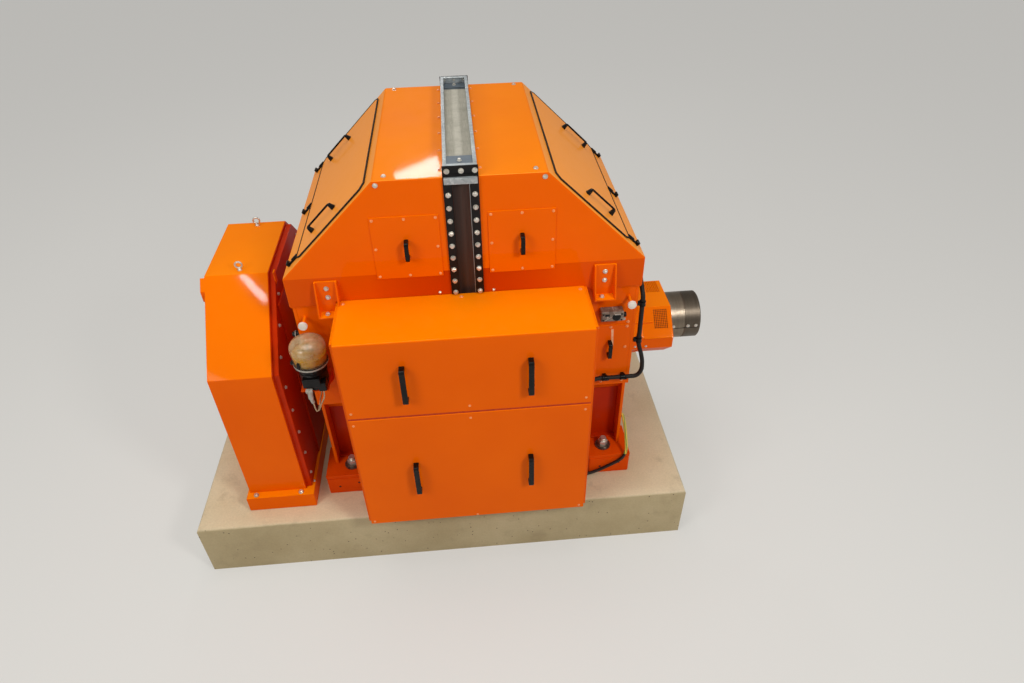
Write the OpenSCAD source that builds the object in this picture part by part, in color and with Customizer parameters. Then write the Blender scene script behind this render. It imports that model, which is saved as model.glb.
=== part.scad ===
// Horizontal hydroelectric generator on its concrete plinth, in millimetres.
// X runs along the shaft towards the driven end, Y to the back, Z up.
// The origin is on the floor, under the middle of the housing and under the shaft.

/* [Plinth] */
// Length of the concrete plinth along the shaft
plinth_len = 2870; // [2780:10:3400]
// Depth of the plinth from front to back
plinth_depth = 1640; // [1600:10:2200]
// Height of the plinth above the floor
plinth_h = 380; // [250:10:600]
// Reach of the plinth past the housing centre on the flywheel side
plinth_left = 1650; // [1600:10:1800]
// Chamfer along the plinth's top edges
plinth_arris = 15; // [5:1:30]

/* [Shaft] */
// Height of the shaft's centre line above the plinth
shaft_rise = 710; // [700:5:760]
// Diameter of the shaft in its bearings
journal_d = 180; // [140:5:220]
// Diameter of the coupling sleeve at the driven end
sleeve_d = 286; // [240:2:300]
// Length of the sleeve outside the shaft guard
sleeve_out = 205; // [150:5:260]
// Bolt circle on the sleeve's end face
coupling_pcd = 220; // [200:5:240]
// Number of tapped holes in the sleeve's end face
coupling_holes = 8; // [6:1:12]
// Diameter of those holes
coupling_hole_d = 24; // [16:1:30]
// Depth of those holes
coupling_hole_depth = 50; // [30:1:80]
// Diameter of the flywheel
flywheel_d = 1120; // [900:10:1200]
// Thickness of the flywheel
flywheel_t = 180; // [100:5:200]

/* [Stator frame] */
// Length of the frame over its end plates
frame_len = 1720; // [1680:10:1730]
// How far the frame's panels stand back from the hood's front and back
frame_step = 15; // [8:1:30]
// Height of the panels' lower edge above the plinth
skirt_rise = 690; // [600:5:760]
// Diameter of the round stator shell below the panels
barrel_d = 940; // [800:10:980]
// Thickness of the two end plates
end_plate_t = 18; // [12:1:30]
// How far the legs of the end plates stand back from the panels
leg_step = 55; // [20:5:90]
// Width of a leg where it stands on a foot
leg_w = 150; // [120:5:180]
// Height of the opening between the legs
leg_arch = 190; // [150:5:220]

/* [Feet] */
// Length of one foot along the shaft
foot_len = 250; // [200:5:300]
// Depth of one foot
foot_depth = 238; // [200:2:280]
// Height of one foot
foot_h = 150; // [100:5:200]
// How far the feet stand out past the end plates
foot_out = 50; // [20:5:80]
// How far the feet stand out in front of the hood and behind it
foot_step = 28; // [10:1:50]
// Diameter of the anchor bolts
anchor_d = 36; // [24:2:48]

/* [Hood] */
// Length of the hood along the shaft
hood_len = 1736; // [1730:2:1760]
// Depth of the hood from front to back
hood_depth = 1180; // [1150:10:1220]
// Height of the hood's lower edge above the plinth
hood_rise = 1355; // [1300:5:1400]
// Height of the hood's upright end walls
hood_wall_h = 165; // [120:5:220]
// Height of the whole hood
hood_h = 640; // [560:5:700]
// Length of the hood's flat top
hood_top_len = 770; // [700:10:860]
// Width of the slot between the two halves
slot_w = 80; // [60:2:100]
// Depth of the slot behind the front face
slot_depth = 30; // [20:1:60]
// Width of one joint flange beside the slot
flange_w = 39; // [30:1:50]
// Thickness of one joint flange
flange_t = 10; // [6:1:14]

/* [Top frame] */
// Width of the galvanised frame on the roof
top_frame_w = 150; // [120:2:180]
// Height of that frame
top_frame_h = 50; // [30:2:70]
// Width of its top flanges
top_frame_flange = 17; // [12:1:24]
// Thickness of its steel
top_frame_t = 5; // [3:1:8]

/* [Covers] */
// Inset of a sloping cover from the fold at the roof
cover_top_gap = 54; // [30:1:70]
// Width of the bare strip below a sloping cover
cover_low_gap = 106; // [70:1:130]
// Depth of a sloping cover from front to back
cover_depth = 1110; // [1000:10:1120]
// Thickness of a sloping cover
cover_t = 6; // [4:1:20]
// Width and thickness of the rubber edging
edging = 5; // [4:1:10]
// Corner cut of a sloping cover
cover_corner = 26; // [10:1:40]
// Width of an inspection cover
inspection_w = 314; // [260:2:340]
// Height of an inspection cover
inspection_h = 326; // [260:2:340]
// Distance of an inspection cover from the housing centre
inspection_off = 111; // [100:1:140]
// Height of an inspection cover's lower edge above the hood's lower edge
inspection_rise = 138; // [120:2:180]
// Thickness of an inspection cover
sheet_t = 5; // [3:1:8]
// Width of a hood bracket
bracket_w = 108; // [90:1:110]
// Height of a hood bracket
bracket_h = 180; // [160:2:240]

/* [Handles] */
// Length of a large handle on the terminal box
box_handle = 210; // [180:2:260]
// Length of a handle on a sloping cover
slope_handle = 190; // [150:2:240]
// Length of a small handle
small_handle = 100; // [90:2:140]
// Thickness of a handle's bar
handle_bar = 14; // [10:1:20]
// How far a handle stands out
handle_out = 45; // [35:1:60]
// How far a handle on a sloping cover stands out
slope_handle_out = 36; // [30:1:50]

/* [Terminal box] */
// Width of the terminal box
box_w = 1226; // [1100:2:1260]
// Middle of the box, from the housing centre
box_mid = -27; // [-60:1:20]
// Depth of the box in front of the hood, with its covers
box_depth = 354; // [300:2:400]
// Height of the box's underside above the plinth
box_rise = 97; // [60:1:140]
// Height of the box
box_h = 1283; // [1240:1:1300]
// Height of the upper cover
box_upper_h = 464; // [400:2:520]
// Thickness of the box's covers
box_cover_t = 24; // [16:1:40]
// Thickness of the box's sheet
box_t = 6; // [4:1:8]
// Width of the edge flange left bare beside the covers
box_edge = 14; // [8:1:24]
// Inside diameter of a cable gland
gland_d = 50; // [30:1:56]
// Distance between the cable glands of one group
gland_pitch = 76; // [74:1:84]

/* [Flywheel guard] */
// Half the height of the guard's eight-sided outline
guard_apothem = 658; // [640:2:680]
// Width of the guard along the shaft
guard_w = 323; // [290:1:340]
// Distance of the guard's inner side from the housing centre
guard_off = 1027; // [1020:1:1060]
// Thickness of the guard's sheet
guard_t = 6; // [4:1:8]
// Height of the guard's base
guard_base_h = 106; // [80:2:140]
// Thickness of the guard's side cover
guard_cover_t = 33; // [16:1:40]

/* [Shaft guard] */
// Width of the shaft guard from front to back
drum_w = 530; // [500:2:560]
// Height of the shaft guard
drum_h = 340; // [330:2:380]
// Size of its corner chamfers
drum_chamfer = 130; // [110:2:140]
// Length of the shaft guard
drum_len = 335; // [300:5:360]
// Thickness of its sheet
drum_t = 4; // [3:1:6]
// Side of one square hole in a grille
mesh_hole = 7; // [5:0.5:8]
// Distance between holes in a grille
mesh_pitch = 10.5; // [9.5:0.5:12]
// Holes along the shaft in one grille
mesh_cols = 8; // [4:1:9]
// Holes across one grille
mesh_rows = 11; // [4:1:11]

/* [Cables] */
// Diameter of the sensor loom
loom_d = 24; // [16:1:30]
// Diameter of the earth lead
earth_d = 16; // [10:1:18]

/* [Hidden] */
$fn = 64;
seat = 0.3;
run_gap = 0.05;
axis_z = plinth_h + shaft_rise;
skirt_z = plinth_h + skirt_rise;
hood_z = plinth_h + hood_rise;
hood_fold_z = hood_z + hood_wall_h;
hood_top_z = hood_z + hood_h;
frame_half = frame_len / 2;
hood_half = hood_len / 2;
hood_y = hood_depth / 2;
frame_y = hood_y - frame_step;
foot_top = plinth_h + foot_h;
foot_x = frame_half + foot_out - foot_len / 2;
foot_y = hood_y + foot_step - foot_depth / 2;
anchor_x = foot_x - 28;
anchor_y = foot_y + 32;
box_z = plinth_h + box_rise;
box_top = box_z + box_h;
box_split = box_top - box_upper_h;
box_front = hood_y + box_depth;
box_x0 = box_mid - box_w / 2;
box_x1 = box_mid + box_w / 2;
journal_r = journal_d / 2;
shaft_hole = journal_r + 10;
drum_x1 = frame_half + drum_len;
sleeve_r = sleeve_d / 2;
sleeve_x1 = drum_x1 + sleeve_out;
bearing_r = journal_r + 60;
base_z = plinth_h + guard_base_h;
guard_out = guard_off + guard_w;
side_cover_x = guard_off - guard_cover_t;
slope_dx = hood_half - hood_top_len / 2;
slope_dz = hood_h - hood_wall_h;
slope_len = sqrt(slope_dx * slope_dx + slope_dz * slope_dz);
slope_angle = atan2(slope_dz, slope_dx);

ORANGE = [0.90, 0.36, 0.02];
DARK = [0.08, 0.08, 0.08];
STEEL = [0.62, 0.62, 0.60];
ZINC = [0.60, 0.64, 0.66];
CONCRETE = [0.72, 0.66, 0.56];

// Outline in X and Z, given thickness along Y and centred on y = 0
module along_y(depth) {
    translate([0, depth / 2, 0]) rotate([90, 0, 0]) linear_extrude(depth) children();
}

// Outline in Y and Z, drawn from x = 0 to x = length
module along_x(length) {
    rotate([90, 0, 90]) linear_extrude(length) children();
}

// Cylinder along the shaft's line between two places on X
module shaft_round(x0, x1, r) {
    translate([x0, 0, axis_z]) rotate([0, 90, 0]) cylinder(h = x1 - x0, r = r, $fn = 96);
}

// Slab given by two opposite corners
module slab(a, b) {
    translate(a) cube([b[0] - a[0], b[1] - a[1], b[2] - a[2]]);
}

// Eight-sided arch that stands on the guard's base
function arch(a, foot) = let (t = a * tan(22.5)) [
    [-a, foot], [a, foot], [a, axis_z + t], [t, axis_z + a], [-t, axis_z + a], [-a, axis_z + t]];

// Bridge handle along Z with its bar out along -Y, seated on y = 0 and centred on z = 0
module bridge_handle(length, out = handle_out) {
    half = length / 2;
    lug = 22;
    for (side = [-1, 1]) {
        translate([0, 0, side * (half - lug / 2)]) {
            translate([-handle_bar / 2, -out + handle_bar / 2, -lug / 2])
                cube([handle_bar, out - handle_bar / 2, lug]);
            translate([0, -5, 0]) rotate([-90, 0, 0]) cylinder(h = 5, r = handle_bar / 2 + 3);
        }
    }
    translate([-handle_bar / 2, -out, -half]) cube([handle_bar, handle_bar, length]);
}

// Places its children on a sloping side of the hood: x down the slope, z out of it
module on_slope(side) {
    mirror([side < 0 ? 1 : 0, 0, 0])
        translate([hood_top_len / 2, 0, hood_top_z]) rotate([0, slope_angle, 0]) children();
}

// Places its children at both ends along X
module both_ends() {
    children();
    mirror([1, 0, 0]) children();
}

module concrete_plinth() {
    c = plinth_arris;
    right = plinth_len - plinth_left;
    half = plinth_depth / 2;
    color(CONCRETE) intersection() {
        along_y(plinth_depth) polygon([[-plinth_left, 0], [right, 0], [right, plinth_h - c],
            [right - c, plinth_h], [c - plinth_left, plinth_h], [-plinth_left, plinth_h - c]]);
        translate([-plinth_left, 0, 0]) along_x(plinth_len) polygon([[-half, 0], [half, 0],
            [half, plinth_h - c], [half - c, plinth_h], [c - half, plinth_h], [-half, plinth_h - c]]);
    }
}

module machine_feet() {
    color(ORANGE) for (sx = [-1, 1], sy = [-1, 1]) {
        difference() {
            translate([sx * foot_x, sy * foot_y, plinth_h + foot_h / 2])
                cube([foot_len, foot_depth, foot_h], center = true);
            translate([sx * anchor_x, sy * anchor_y, plinth_h - 1])
                cylinder(h = foot_h + 2, d = anchor_d + 6);
        }
    }
}

module anchor_bolts() {
    color(STEEL) for (sx = [-1, 1], sy = [-1, 1]) {
        translate([sx * anchor_x, sy * anchor_y, foot_top]) {
            cylinder(h = 10, d = anchor_d * 3);
            translate([0, 0, 10]) cylinder(h = 8, d = anchor_d * 2.2);
            translate([0, 0, 18]) cylinder(h = 30, d = anchor_d * 1.75, $fn = 6);
            translate([0, 0, -foot_h]) cylinder(h = foot_h + 66, d = anchor_d);
        }
    }
}

module stator_frame() {
    inside = frame_len - 2 * end_plate_t;
    color(ORANGE) difference() {
        union() {
            slab([-inside / 2, -frame_y, skirt_z], [inside / 2, frame_y, hood_z]);
            shaft_round(-inside / 2, inside / 2, barrel_d / 2);
        }
        shaft_round(-inside / 2 - 1, inside / 2 + 1, shaft_hole);
    }
}

// End plate with narrow legs that stand on the feet
module end_plate() {
    e = frame_y - leg_step;
    leg = leg_w;
    arch_h = leg_arch;
    color(ORANGE) difference() {
        translate([frame_half - end_plate_t, 0, 0]) along_x(end_plate_t)
            polygon([[-e, foot_top], [leg - e, foot_top], [leg - e + arch_h / 2, foot_top + arch_h],
                [e - leg - arch_h / 2, foot_top + arch_h], [e - leg, foot_top], [e, foot_top],
                [e, skirt_z], [frame_y, skirt_z], [frame_y, hood_z],
                [-frame_y, hood_z], [-frame_y, skirt_z], [-e, skirt_z]]);
        shaft_round(0, frame_half + 1, shaft_hole);
    }
}

module end_plates() {
    both_ends() end_plate();
}

module bearing_housing_left() {
    color(ORANGE) difference() {
        union() {
            shaft_round(-frame_half - 40, -frame_half, bearing_r + 90);
            shaft_round(-side_cover_x + 5, -frame_half - 40, bearing_r + 50);
        }
        shaft_round(-side_cover_x - 10, -frame_half + 1, journal_r + run_gap);
    }
}

module bearing_housing_right() {
    color(ORANGE) difference() {
        shaft_round(frame_half, frame_half + 130, bearing_r);
        shaft_round(frame_half - 1, frame_half + 131, journal_r + run_gap);
    }
}

// Right half of the hood, a folded roof with an upright end wall
module hood_half_body() {
    color(ORANGE) along_y(hood_depth) polygon([[slot_w / 2, hood_z], [hood_half, hood_z],
        [hood_half, hood_fold_z], [hood_top_len / 2, hood_top_z], [slot_w / 2, hood_top_z]]);
}

module hood_left() {
    mirror([1, 0, 0]) hood_half_body();
}

module hood_right() {
    hood_half_body();
}

module slot_channel() {
    y = hood_y - slot_depth;
    x = slot_w / 2 - seat;
    color([0.20, 0.12, 0.09]) slab([-x, -y, hood_z], [x, y, hood_top_z - 5]);
}

// Joint flanges of one half on the hood's front and back
module joint_flange() {
    x0 = slot_w / 2;
    top = hood_top_z - 30;
    color(DARK) {
        slab([x0, -hood_y - flange_t, box_top + 5], [x0 + flange_w, -hood_y, top]);
        slab([x0, hood_y, hood_z], [x0 + flange_w, hood_y + flange_t, top]);
    }
}

module joint_flanges() {
    both_ends() joint_flange();
}

module joint_bar() {
    color(STEEL) for (s = [-1, 1])
        translate([0, s * (hood_y + 9), hood_top_z - 15]) cube([140, 18, 30], center = true);
}

// Open frame of angle section along the roof with two cross plates
module top_frame() {
    w = top_frame_w / 2;
    t = top_frame_t;
    cross = 70;
    top = hood_top_z + top_frame_h;
    y = hood_y - t;
    color(ZINC) {
        for (s = [-1, 1]) {
            mirror([s < 0 ? 1 : 0, 0, 0]) {
                slab([w - t, -y, hood_top_z], [w, y, top]);
                slab([w - top_frame_flange, -y, top - t], [w, y, top]);
            }
            translate([0, s * (y - cross / 2 - 8), hood_top_z + 12])
                cube([top_frame_w - t, cross, t], center = true);
        }
    }
}

module top_frame_ends() {
    half = slot_w / 2 + flange_w;
    color(DARK) for (s = [-1, 1])
        translate([0, s * (hood_y - top_frame_t / 2), hood_top_z + top_frame_h / 2])
            cube([2 * half, top_frame_t, top_frame_h], center = true);
}

// Outline of a sloping cover with cut corners
function cut_corners(x0, x1, y, c) = [[x0 + c, -y], [x1 - c, -y], [x1, c - y], [x1, y - c],
    [x1 - c, y], [x0 + c, y], [x0, y - c], [x0, c - y]];

cover_x0 = cover_top_gap;
cover_x1 = slope_len - cover_low_gap;
cover_y = cover_depth / 2;

module slope_cover(side) {
    color(ORANGE) on_slope(side) linear_extrude(cover_t)
        polygon(cut_corners(cover_x0 + edging, cover_x1 - edging, cover_y - edging, cover_corner));
}

module slope_covers() {
    both_ends() slope_cover(1);
}

module slope_edging(side) {
    inner = edging - seat;
    color(DARK) on_slope(side) linear_extrude(cover_t + 2) difference() {
        polygon(cut_corners(cover_x0, cover_x1, cover_y, cover_corner + edging / 2));
        polygon(cut_corners(cover_x0 + inner, cover_x1 - inner, cover_y - inner, cover_corner));
    }
}

module slope_edgings() {
    both_ends() slope_edging(1);
}

// Three toggle clips below each sloping cover, each an arm with a cross head
module slope_cover_clips() {
    arm = 52;
    head = 13;
    head_w = 36;
    color(DARK) for (side = [-1, 1], y = [-0.463, 0, 0.463]) on_slope(side)
        translate([cover_x1 + seat, y * cover_depth, 0]) {
            translate([0, -8, 0]) cube([arm + head, 16, 10]);
            translate([arm, -head_w / 2, 0]) cube([head, head_w, 22]);
        }
}

module slope_handles() {
    color(DARK) for (side = [-1, 1], y = [-0.383, 0.347]) on_slope(side)
        translate([slope_len * 0.555, y * cover_depth, cover_t]) rotate([-90, 0, 0]) rotate([0, 90, 0])
            bridge_handle(slope_handle, slope_handle_out);
}

module inspection_cover() {
    z0 = hood_z + inspection_rise;
    color(ORANGE) slab([inspection_off, -hood_y - sheet_t, z0],
        [inspection_off + inspection_w, -hood_y, z0 + inspection_h]);
}

module inspection_covers() {
    both_ends() inspection_cover();
}

module small_handles() {
    color(DARK) {
        both_ends() translate([inspection_off + inspection_w / 2, -hood_y - sheet_t,
            hood_z + inspection_rise + inspection_h / 2 - 5]) bridge_handle(small_handle);
        translate([(box_x1 + access_gap + frame_half - 32) / 2 + 16, -frame_y - sheet_t, skirt_z + 272])
            bridge_handle(small_handle);
    }
}

bracket_gap = 32;
bracket_x = box_x1 + bracket_gap;
bracket_z = hood_z - 35;

// Bent bracket with two webs that widen to a ledge
module hood_bracket() {
    x0 = bracket_x;
    w = bracket_w;
    t = 8;
    z0 = bracket_z;
    z1 = z0 + bracket_h;
    reach = 62;
    color(ORANGE) {
        slab([x0, -hood_y - t, z0], [x0 + w, -hood_y, z1]);
        slab([x0, -hood_y - reach, z0], [x0 + w, -hood_y - t, z0 + t]);
        for (x = [x0, x0 + w - t]) translate([x, 0, 0]) along_x(t)
            polygon([[-hood_y - t, z0 + t], [-hood_y - t, z1], [-hood_y - t - 10, z1],
                [-hood_y - reach, z0 + t]]);
    }
}

// The left bracket is cut back where it would meet the terminal box
module hood_brackets() {
    hood_bracket();
    difference() {
        mirror([1, 0, 0]) hood_bracket();
        slab([box_x0 - 2, -box_front, bracket_z - 1], [box_x1, 1 - hood_y, box_top + 2]);
    }
}

access_gap = 14;
split_half = 5;
gland_groups = [box_mid - box_w * 0.243, box_mid + box_w * 0.376];
gland_y = -box_front + 74;

module terminal_box() {
    y0 = -box_front + box_cover_t;
    t = box_t;
    color(ORANGE) difference() {
        union() {
            slab([box_x0, y0, box_z], [box_x1, -hood_y, box_top - sheet_t]);
            slab([box_x0 + 20, -hood_y - t, skirt_z + 10], [box_x1 - 20, -frame_y, hood_z - 5]);
        }
        slab([box_x0 + t, y0 - 1, box_z + t], [box_x1 - t, -hood_y - t, box_top - sheet_t - t]);
        for (g = gland_groups, i = [-1, 0, 1])
            translate([g + i * gland_pitch, gland_y, box_z - 1]) cylinder(h = t + 2, r = gland_d / 2 + 8);
    }
}

// The upper cover folds back over the box's top
module terminal_cover_upper() {
    color(ORANGE) {
        slab([box_x0 + box_edge, -box_front, box_split + split_half],
            [box_x1 - box_edge, -box_front + box_cover_t, box_top]);
        slab([box_x0 + box_edge, -box_front + box_cover_t, box_top - sheet_t],
            [box_x1 - box_edge, -hood_y, box_top]);
    }
}

module terminal_cover_lower() {
    color(ORANGE) slab([box_x0 + box_edge, -box_front, box_z],
        [box_x1 - box_edge, -box_front + box_cover_t, box_split - split_half]);
}

module terminal_handles() {
    color(DARK) for (x = [box_mid - box_w * 0.247, box_mid + box_w * 0.242]) {
        translate([x, -box_front, box_split + box_upper_h * 0.468]) bridge_handle(box_handle);
        translate([x, -box_front, box_split - (box_h - box_upper_h) * 0.543]) bridge_handle(box_handle);
    }
}

module cable_glands() {
    r = gland_d / 2;
    color(DARK) for (g = gland_groups, i = [-1, 0, 1])
        translate([g + i * gland_pitch, gland_y, 0]) difference() {
            union() {
                translate([0, 0, box_z - 28]) cylinder(h = 28, r = r + 12, $fn = 6);
                translate([0, 0, box_z]) cylinder(h = box_t + 4, r = r + 8 - seat);
            }
            translate([0, 0, box_z - 29]) cylinder(h = box_t + 34, r = r);
        }
}

module frame_access_cover() {
    low = 20;
    high = skirt_rise * 0.61;
    color(ORANGE) slab([box_x1 + access_gap, -frame_y - sheet_t, skirt_z + low],
        [frame_half - 32, -frame_y, skirt_z + high]);
}

module junction_box() {
    x0 = frame_half - 197;
    z0 = hood_z - 185;
    color([0.55, 0.56, 0.56]) slab([x0, -frame_y - 52, z0], [x0 + 118, -frame_y, z0 + 60]);
}

// Round caps, each on a short pipe out of the frame's panel
module sensor_caps() {
    stub = 70;
    color([0.85, 0.85, 0.84]) both_ends()
        translate([frame_half - 50, -frame_y, hood_z - 69]) rotate([90, 0, 0]) {
            cylinder(h = stub, r = 8);
            translate([0, 0, stub]) cylinder(h = 15, r = 22);
        }
}

// Unit vector along v
function unit(v) = v / norm(v);
// Direction of a route at point i
function heading(p, i) = unit(p[min(i + 1, len(p) - 1)] - p[max(i - 1, 0)]);
// Ring of points round a route's point
function ring(p, i, r, n) = let (d = heading(p, i), a = unit(cross([0, 1, 0], d)), b = cross(d, a))
    [for (k = [0:n - 1]) p[i] + r * (cos(360 * k / n) * a + sin(360 * k / n) * b)];

// Tube along a route of points
module tube(p, d, n) {
    last = len(p) - 1;
    points = [for (i = [0:last]) each ring(p, i, d / 2, n)];
    sides = [for (i = [0:last - 1], k = [0:n - 1])
        [i * n + k, (i + 1) * n + k, (i + 1) * n + (k + 1) % n, i * n + (k + 1) % n]];
    polyhedron(points, concat([[for (k = [0:n - 1]) k]], sides, [[for (k = [n - 1:-1:0]) last * n + k]]));
}

// Places the loom by steps out from the end plate, back from the panel's face and up from a level
function loom_at(out, back, level, up) = [frame_half + out, back - frame_y, level + up];
loom_out = 28;
loom_front = loom_d / 2 + sheet_t + 14;
loom_low = skirt_z + 78;

// Route of the sensor loom from the hood's end wall down to the terminal box
loom_route = [[hood_half, 175 - frame_y, hood_z + 65], [hood_half + 16, 175 - frame_y, hood_z + 65],
    loom_at(33, 164, hood_z, 54), loom_at(32, 140, hood_z, 30), loom_at(27, 107, hood_z, 2),
    loom_at(24, 70, hood_z, -24), loom_at(25, 36, hood_z, -52), loom_at(loom_out, 15, hood_z, -85),
    loom_at(loom_out, 10, hood_z, -125), loom_at(loom_out, 7, hood_z, -180),
    loom_at(loom_out, 3, hood_z, -245), loom_at(loom_out, 0, hood_z, -305),
    loom_at(loom_out, -1, hood_z, -366), loom_at(36, -5, loom_low, 182), loom_at(50, -12, loom_low, 132),
    loom_at(58, -20, loom_low, 77), loom_at(52, -27, loom_low, 27), loom_at(30, -loom_front, loom_low, 4),
    loom_at(-10, -loom_front, loom_low, 0), loom_at(-80, -loom_front, loom_low, 0),
    loom_at(-130, -loom_front, loom_low, 0), [box_x1 + 100, -frame_y - loom_front, loom_low],
    [box_x1 + 60, -frame_y - loom_front - 9, loom_low], [box_x1 + 20, -frame_y - loom_front - 14, loom_low],
    [box_x1 + seat, -frame_y - loom_front - 14, loom_low]];

module loom_cable() {
    color(DARK) tube(loom_route, loom_d, 10);
}

module loom_clips() {
    r = loom_d / 2 + seat;
    y = -frame_y;
    color(DARK) {
        for (z = [hood_z - 135, hood_z - 365])
            slab([frame_half, y + 1, z], [frame_half + loom_out - r, y + 20, z + 20]);
        for (x = [frame_half - 155, frame_half - 55]) slab([x, r - loom_front + y, loom_low - 12],
            [x + 20, y - sheet_t, loom_low + 12]);
    }
}

// Route of the earth lead from the end plate to the underside of the box
earth_front = hood_y + foot_step + earth_d / 2 + 6;
earth_low = plinth_h + earth_d / 2 + 7;
earth_route = [loom_at(0, 105, foot_top, 190), loom_at(12, 105, foot_top, 190),
    loom_at(24, 72, foot_top, 160), loom_at(26, 30, foot_top, 120), loom_at(26, -10, foot_top, 72),
    loom_at(22, -44, foot_top, 35), [frame_half + 10, -earth_front, foot_top + 3],
    [frame_half - 14, -earth_front, foot_top - 35], [frame_half - 50, -earth_front, foot_top - 62],
    [frame_half - 95, -earth_front, foot_top - 90],
    [frame_half - 150, -earth_front, earth_low + 15], [frame_half - 200, -earth_front - 3, earth_low],
    [box_x1 + 24, -earth_front - 11, earth_low - 5], [box_x1 - 26, -earth_front - 26, earth_low - 3],
    [box_x1 - 61, -earth_front - 41, earth_low + 12], [box_x1 - 76, -earth_front - 49, earth_low + 42],
    [box_x1 - 78, -earth_front - 51, box_z - 15], [box_x1 - 78, -earth_front - 51, box_z - seat]];

module earth_lead() {
    color([0.45, 0.52, 0.10]) tube(earth_route, earth_d, 8);
}

pump_x = 58 - frame_half;
pump_y = -frame_y - 115;
pump_z = hood_z - 400;
pump_h = 153;

// Closed cup with a low dome
module grease_reservoir() {
    color([0.75, 0.62, 0.40]) translate([pump_x, pump_y, pump_z + pump_h]) rotate_extrude()
        polygon([[0, 0], [82, 0], [84, 6], [90, 63], [90, 84], [82, 106], [62, 124], [34, 132], [0, 134]]);
}

module grease_pump() {
    color(DARK) translate([pump_x, pump_y, pump_z]) {
        cylinder(h = pump_h - 16, r = 69);
        translate([0, 0, pump_h - 16]) cylinder(h = 16, r = 86);
    }
}

module pump_bracket() {
    color(ORANGE) {
        slab([pump_x - 70, pump_y - 60, pump_z - 8], [pump_x + 70, -frame_y, pump_z]);
        slab([pump_x - 40, -frame_y - 8, pump_z - 90], [pump_x + 40, -frame_y, pump_z - 8]);
    }
}

// Flat eight-sided outline of the shaft guard, made smaller by an inset
function drum_outline(inset) = let (w = drum_w / 2 - inset, h = drum_h / 2 - inset,
    c = drum_chamfer - inset * (2 - sqrt(2))) [
    [-w, c - h], [c - w, -h], [w - c, -h], [w, c - h], [w, h - c], [w - c, h], [c - w, h], [-w, h - c]];

grille_x = mesh_cols * mesh_pitch + 6;
grille_y = mesh_rows * mesh_pitch + 6;
grille_mid_x = drum_x1 - 22 - grille_x / 2;
chamfer_mid = [-drum_w / 2 + drum_chamfer / 2, drum_h / 2 - drum_chamfer / 2];

// Puts its children on the drum's panels that have grilles, outer face at z = 0
module at_grilles() {
    translate([grille_mid_x, drum_w / 2 - drum_chamfer - grille_y / 2 - 2, axis_z + drum_h / 2]) children();
    for (m = [0, 1]) mirror([0, m, 0])
        translate([grille_mid_x, chamfer_mid[0], axis_z + chamfer_mid[1]]) rotate([45, 0, 0])
            translate([0, 18, 0]) children();
}

module shaft_guard() {
    color(ORANGE) difference() {
        translate([frame_half, 0, axis_z]) along_x(drum_len) polygon(drum_outline(0));
        translate([frame_half - 1, 0, axis_z]) along_x(drum_len - drum_t + 1) polygon(drum_outline(drum_t));
        shaft_round(drum_x1 - 20, drum_x1 + 1, sleeve_r + 8);
        at_grilles() translate([0, 0, 0]) cube([grille_x, grille_y, 3 * drum_t], center = true);
    }
}

module shaft_guard_grilles() {
    color(ORANGE) at_grilles() translate([0, 0, -drum_t]) linear_extrude(drum_t) difference() {
        square([grille_x - 2 * seat, grille_y - 2 * seat], center = true);
        for (i = [0:mesh_cols - 1], j = [0:mesh_rows - 1])
            translate([(i - (mesh_cols - 1) / 2) * mesh_pitch, (j - (mesh_rows - 1) / 2) * mesh_pitch])
                square(mesh_hole, center = true);
    }
}

module flywheel_guard_shell() {
    t = guard_t;
    fold = guard_apothem * tan(22.5);
    lug_t = 22;
    lug_h = 62;
    near = fold + 6;
    far = fold + 59;
    ridge = axis_z + guard_apothem + fold;
    color(ORANGE) {
        translate([-guard_out, 0, 0]) difference() {
            along_x(guard_w) polygon(arch(guard_apothem, base_z));
            translate([t, 0, 0]) along_x(guard_w) polygon(arch(guard_apothem - t, base_z - 1));
        }
        translate([-guard_out - lug_t, 0, 0]) along_x(lug_t) polygon([[-far, ridge - far - lug_h],
            [-near, ridge - far - lug_h + 26], [-near, ridge - near], [-far, ridge - far]]);
    }
}

// Plate with a wider lip that closes the shell's open side
module flywheel_guard_cover() {
    lip = 5;
    color(ORANGE) difference() {
        translate([-guard_off, 0, 0]) {
            along_x(guard_cover_t) polygon(arch(guard_apothem - 18, base_z));
            along_x(lip) polygon(arch(guard_apothem - 2, base_z));
        }
        shaft_round(-guard_off - 1, -side_cover_x + 1, bearing_r + 60);
    }
}

// Raised panel round the shaft on the side cover
module flywheel_guard_collar() {
    y = guard_apothem * 0.56;
    t = 10;
    color(ORANGE) difference() {
        slab([-side_cover_x, -y, base_z], [t - side_cover_x, y, axis_z + guard_apothem * 0.78]);
        shaft_round(-side_cover_x - 1, t - side_cover_x + 1, bearing_r + 60);
    }
}

module flywheel_guard_base() {
    y = guard_apothem + 45;
    color(ORANGE) difference() {
        slab([-guard_out - 15, -y, plinth_h], [50 - guard_off, y, base_z]);
        slab([-guard_out + 40, -y + 90, plinth_h - 1], [-guard_off - 10, y - 90, base_z + 1]);
    }
}

module lifting_eyes() {
    top = axis_z + guard_apothem;
    color(STEEL) for (y = [-0.357, 0.357] * guard_apothem)
        translate([-guard_off - guard_w * 0.46, y, top]) {
        cylinder(h = 8, r = 12);
        translate([0, 0, 8]) cylinder(h = 8, r = 7);
        translate([0, 0, 32]) rotate([90, 0, 0]) rotate_extrude() translate([17.5, 0]) circle(r = 5);
    }
}

module rotor_shaft() {
    color(STEEL) shaft_round(-guard_out + 30, drum_x1 - 60, journal_r);
}

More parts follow.
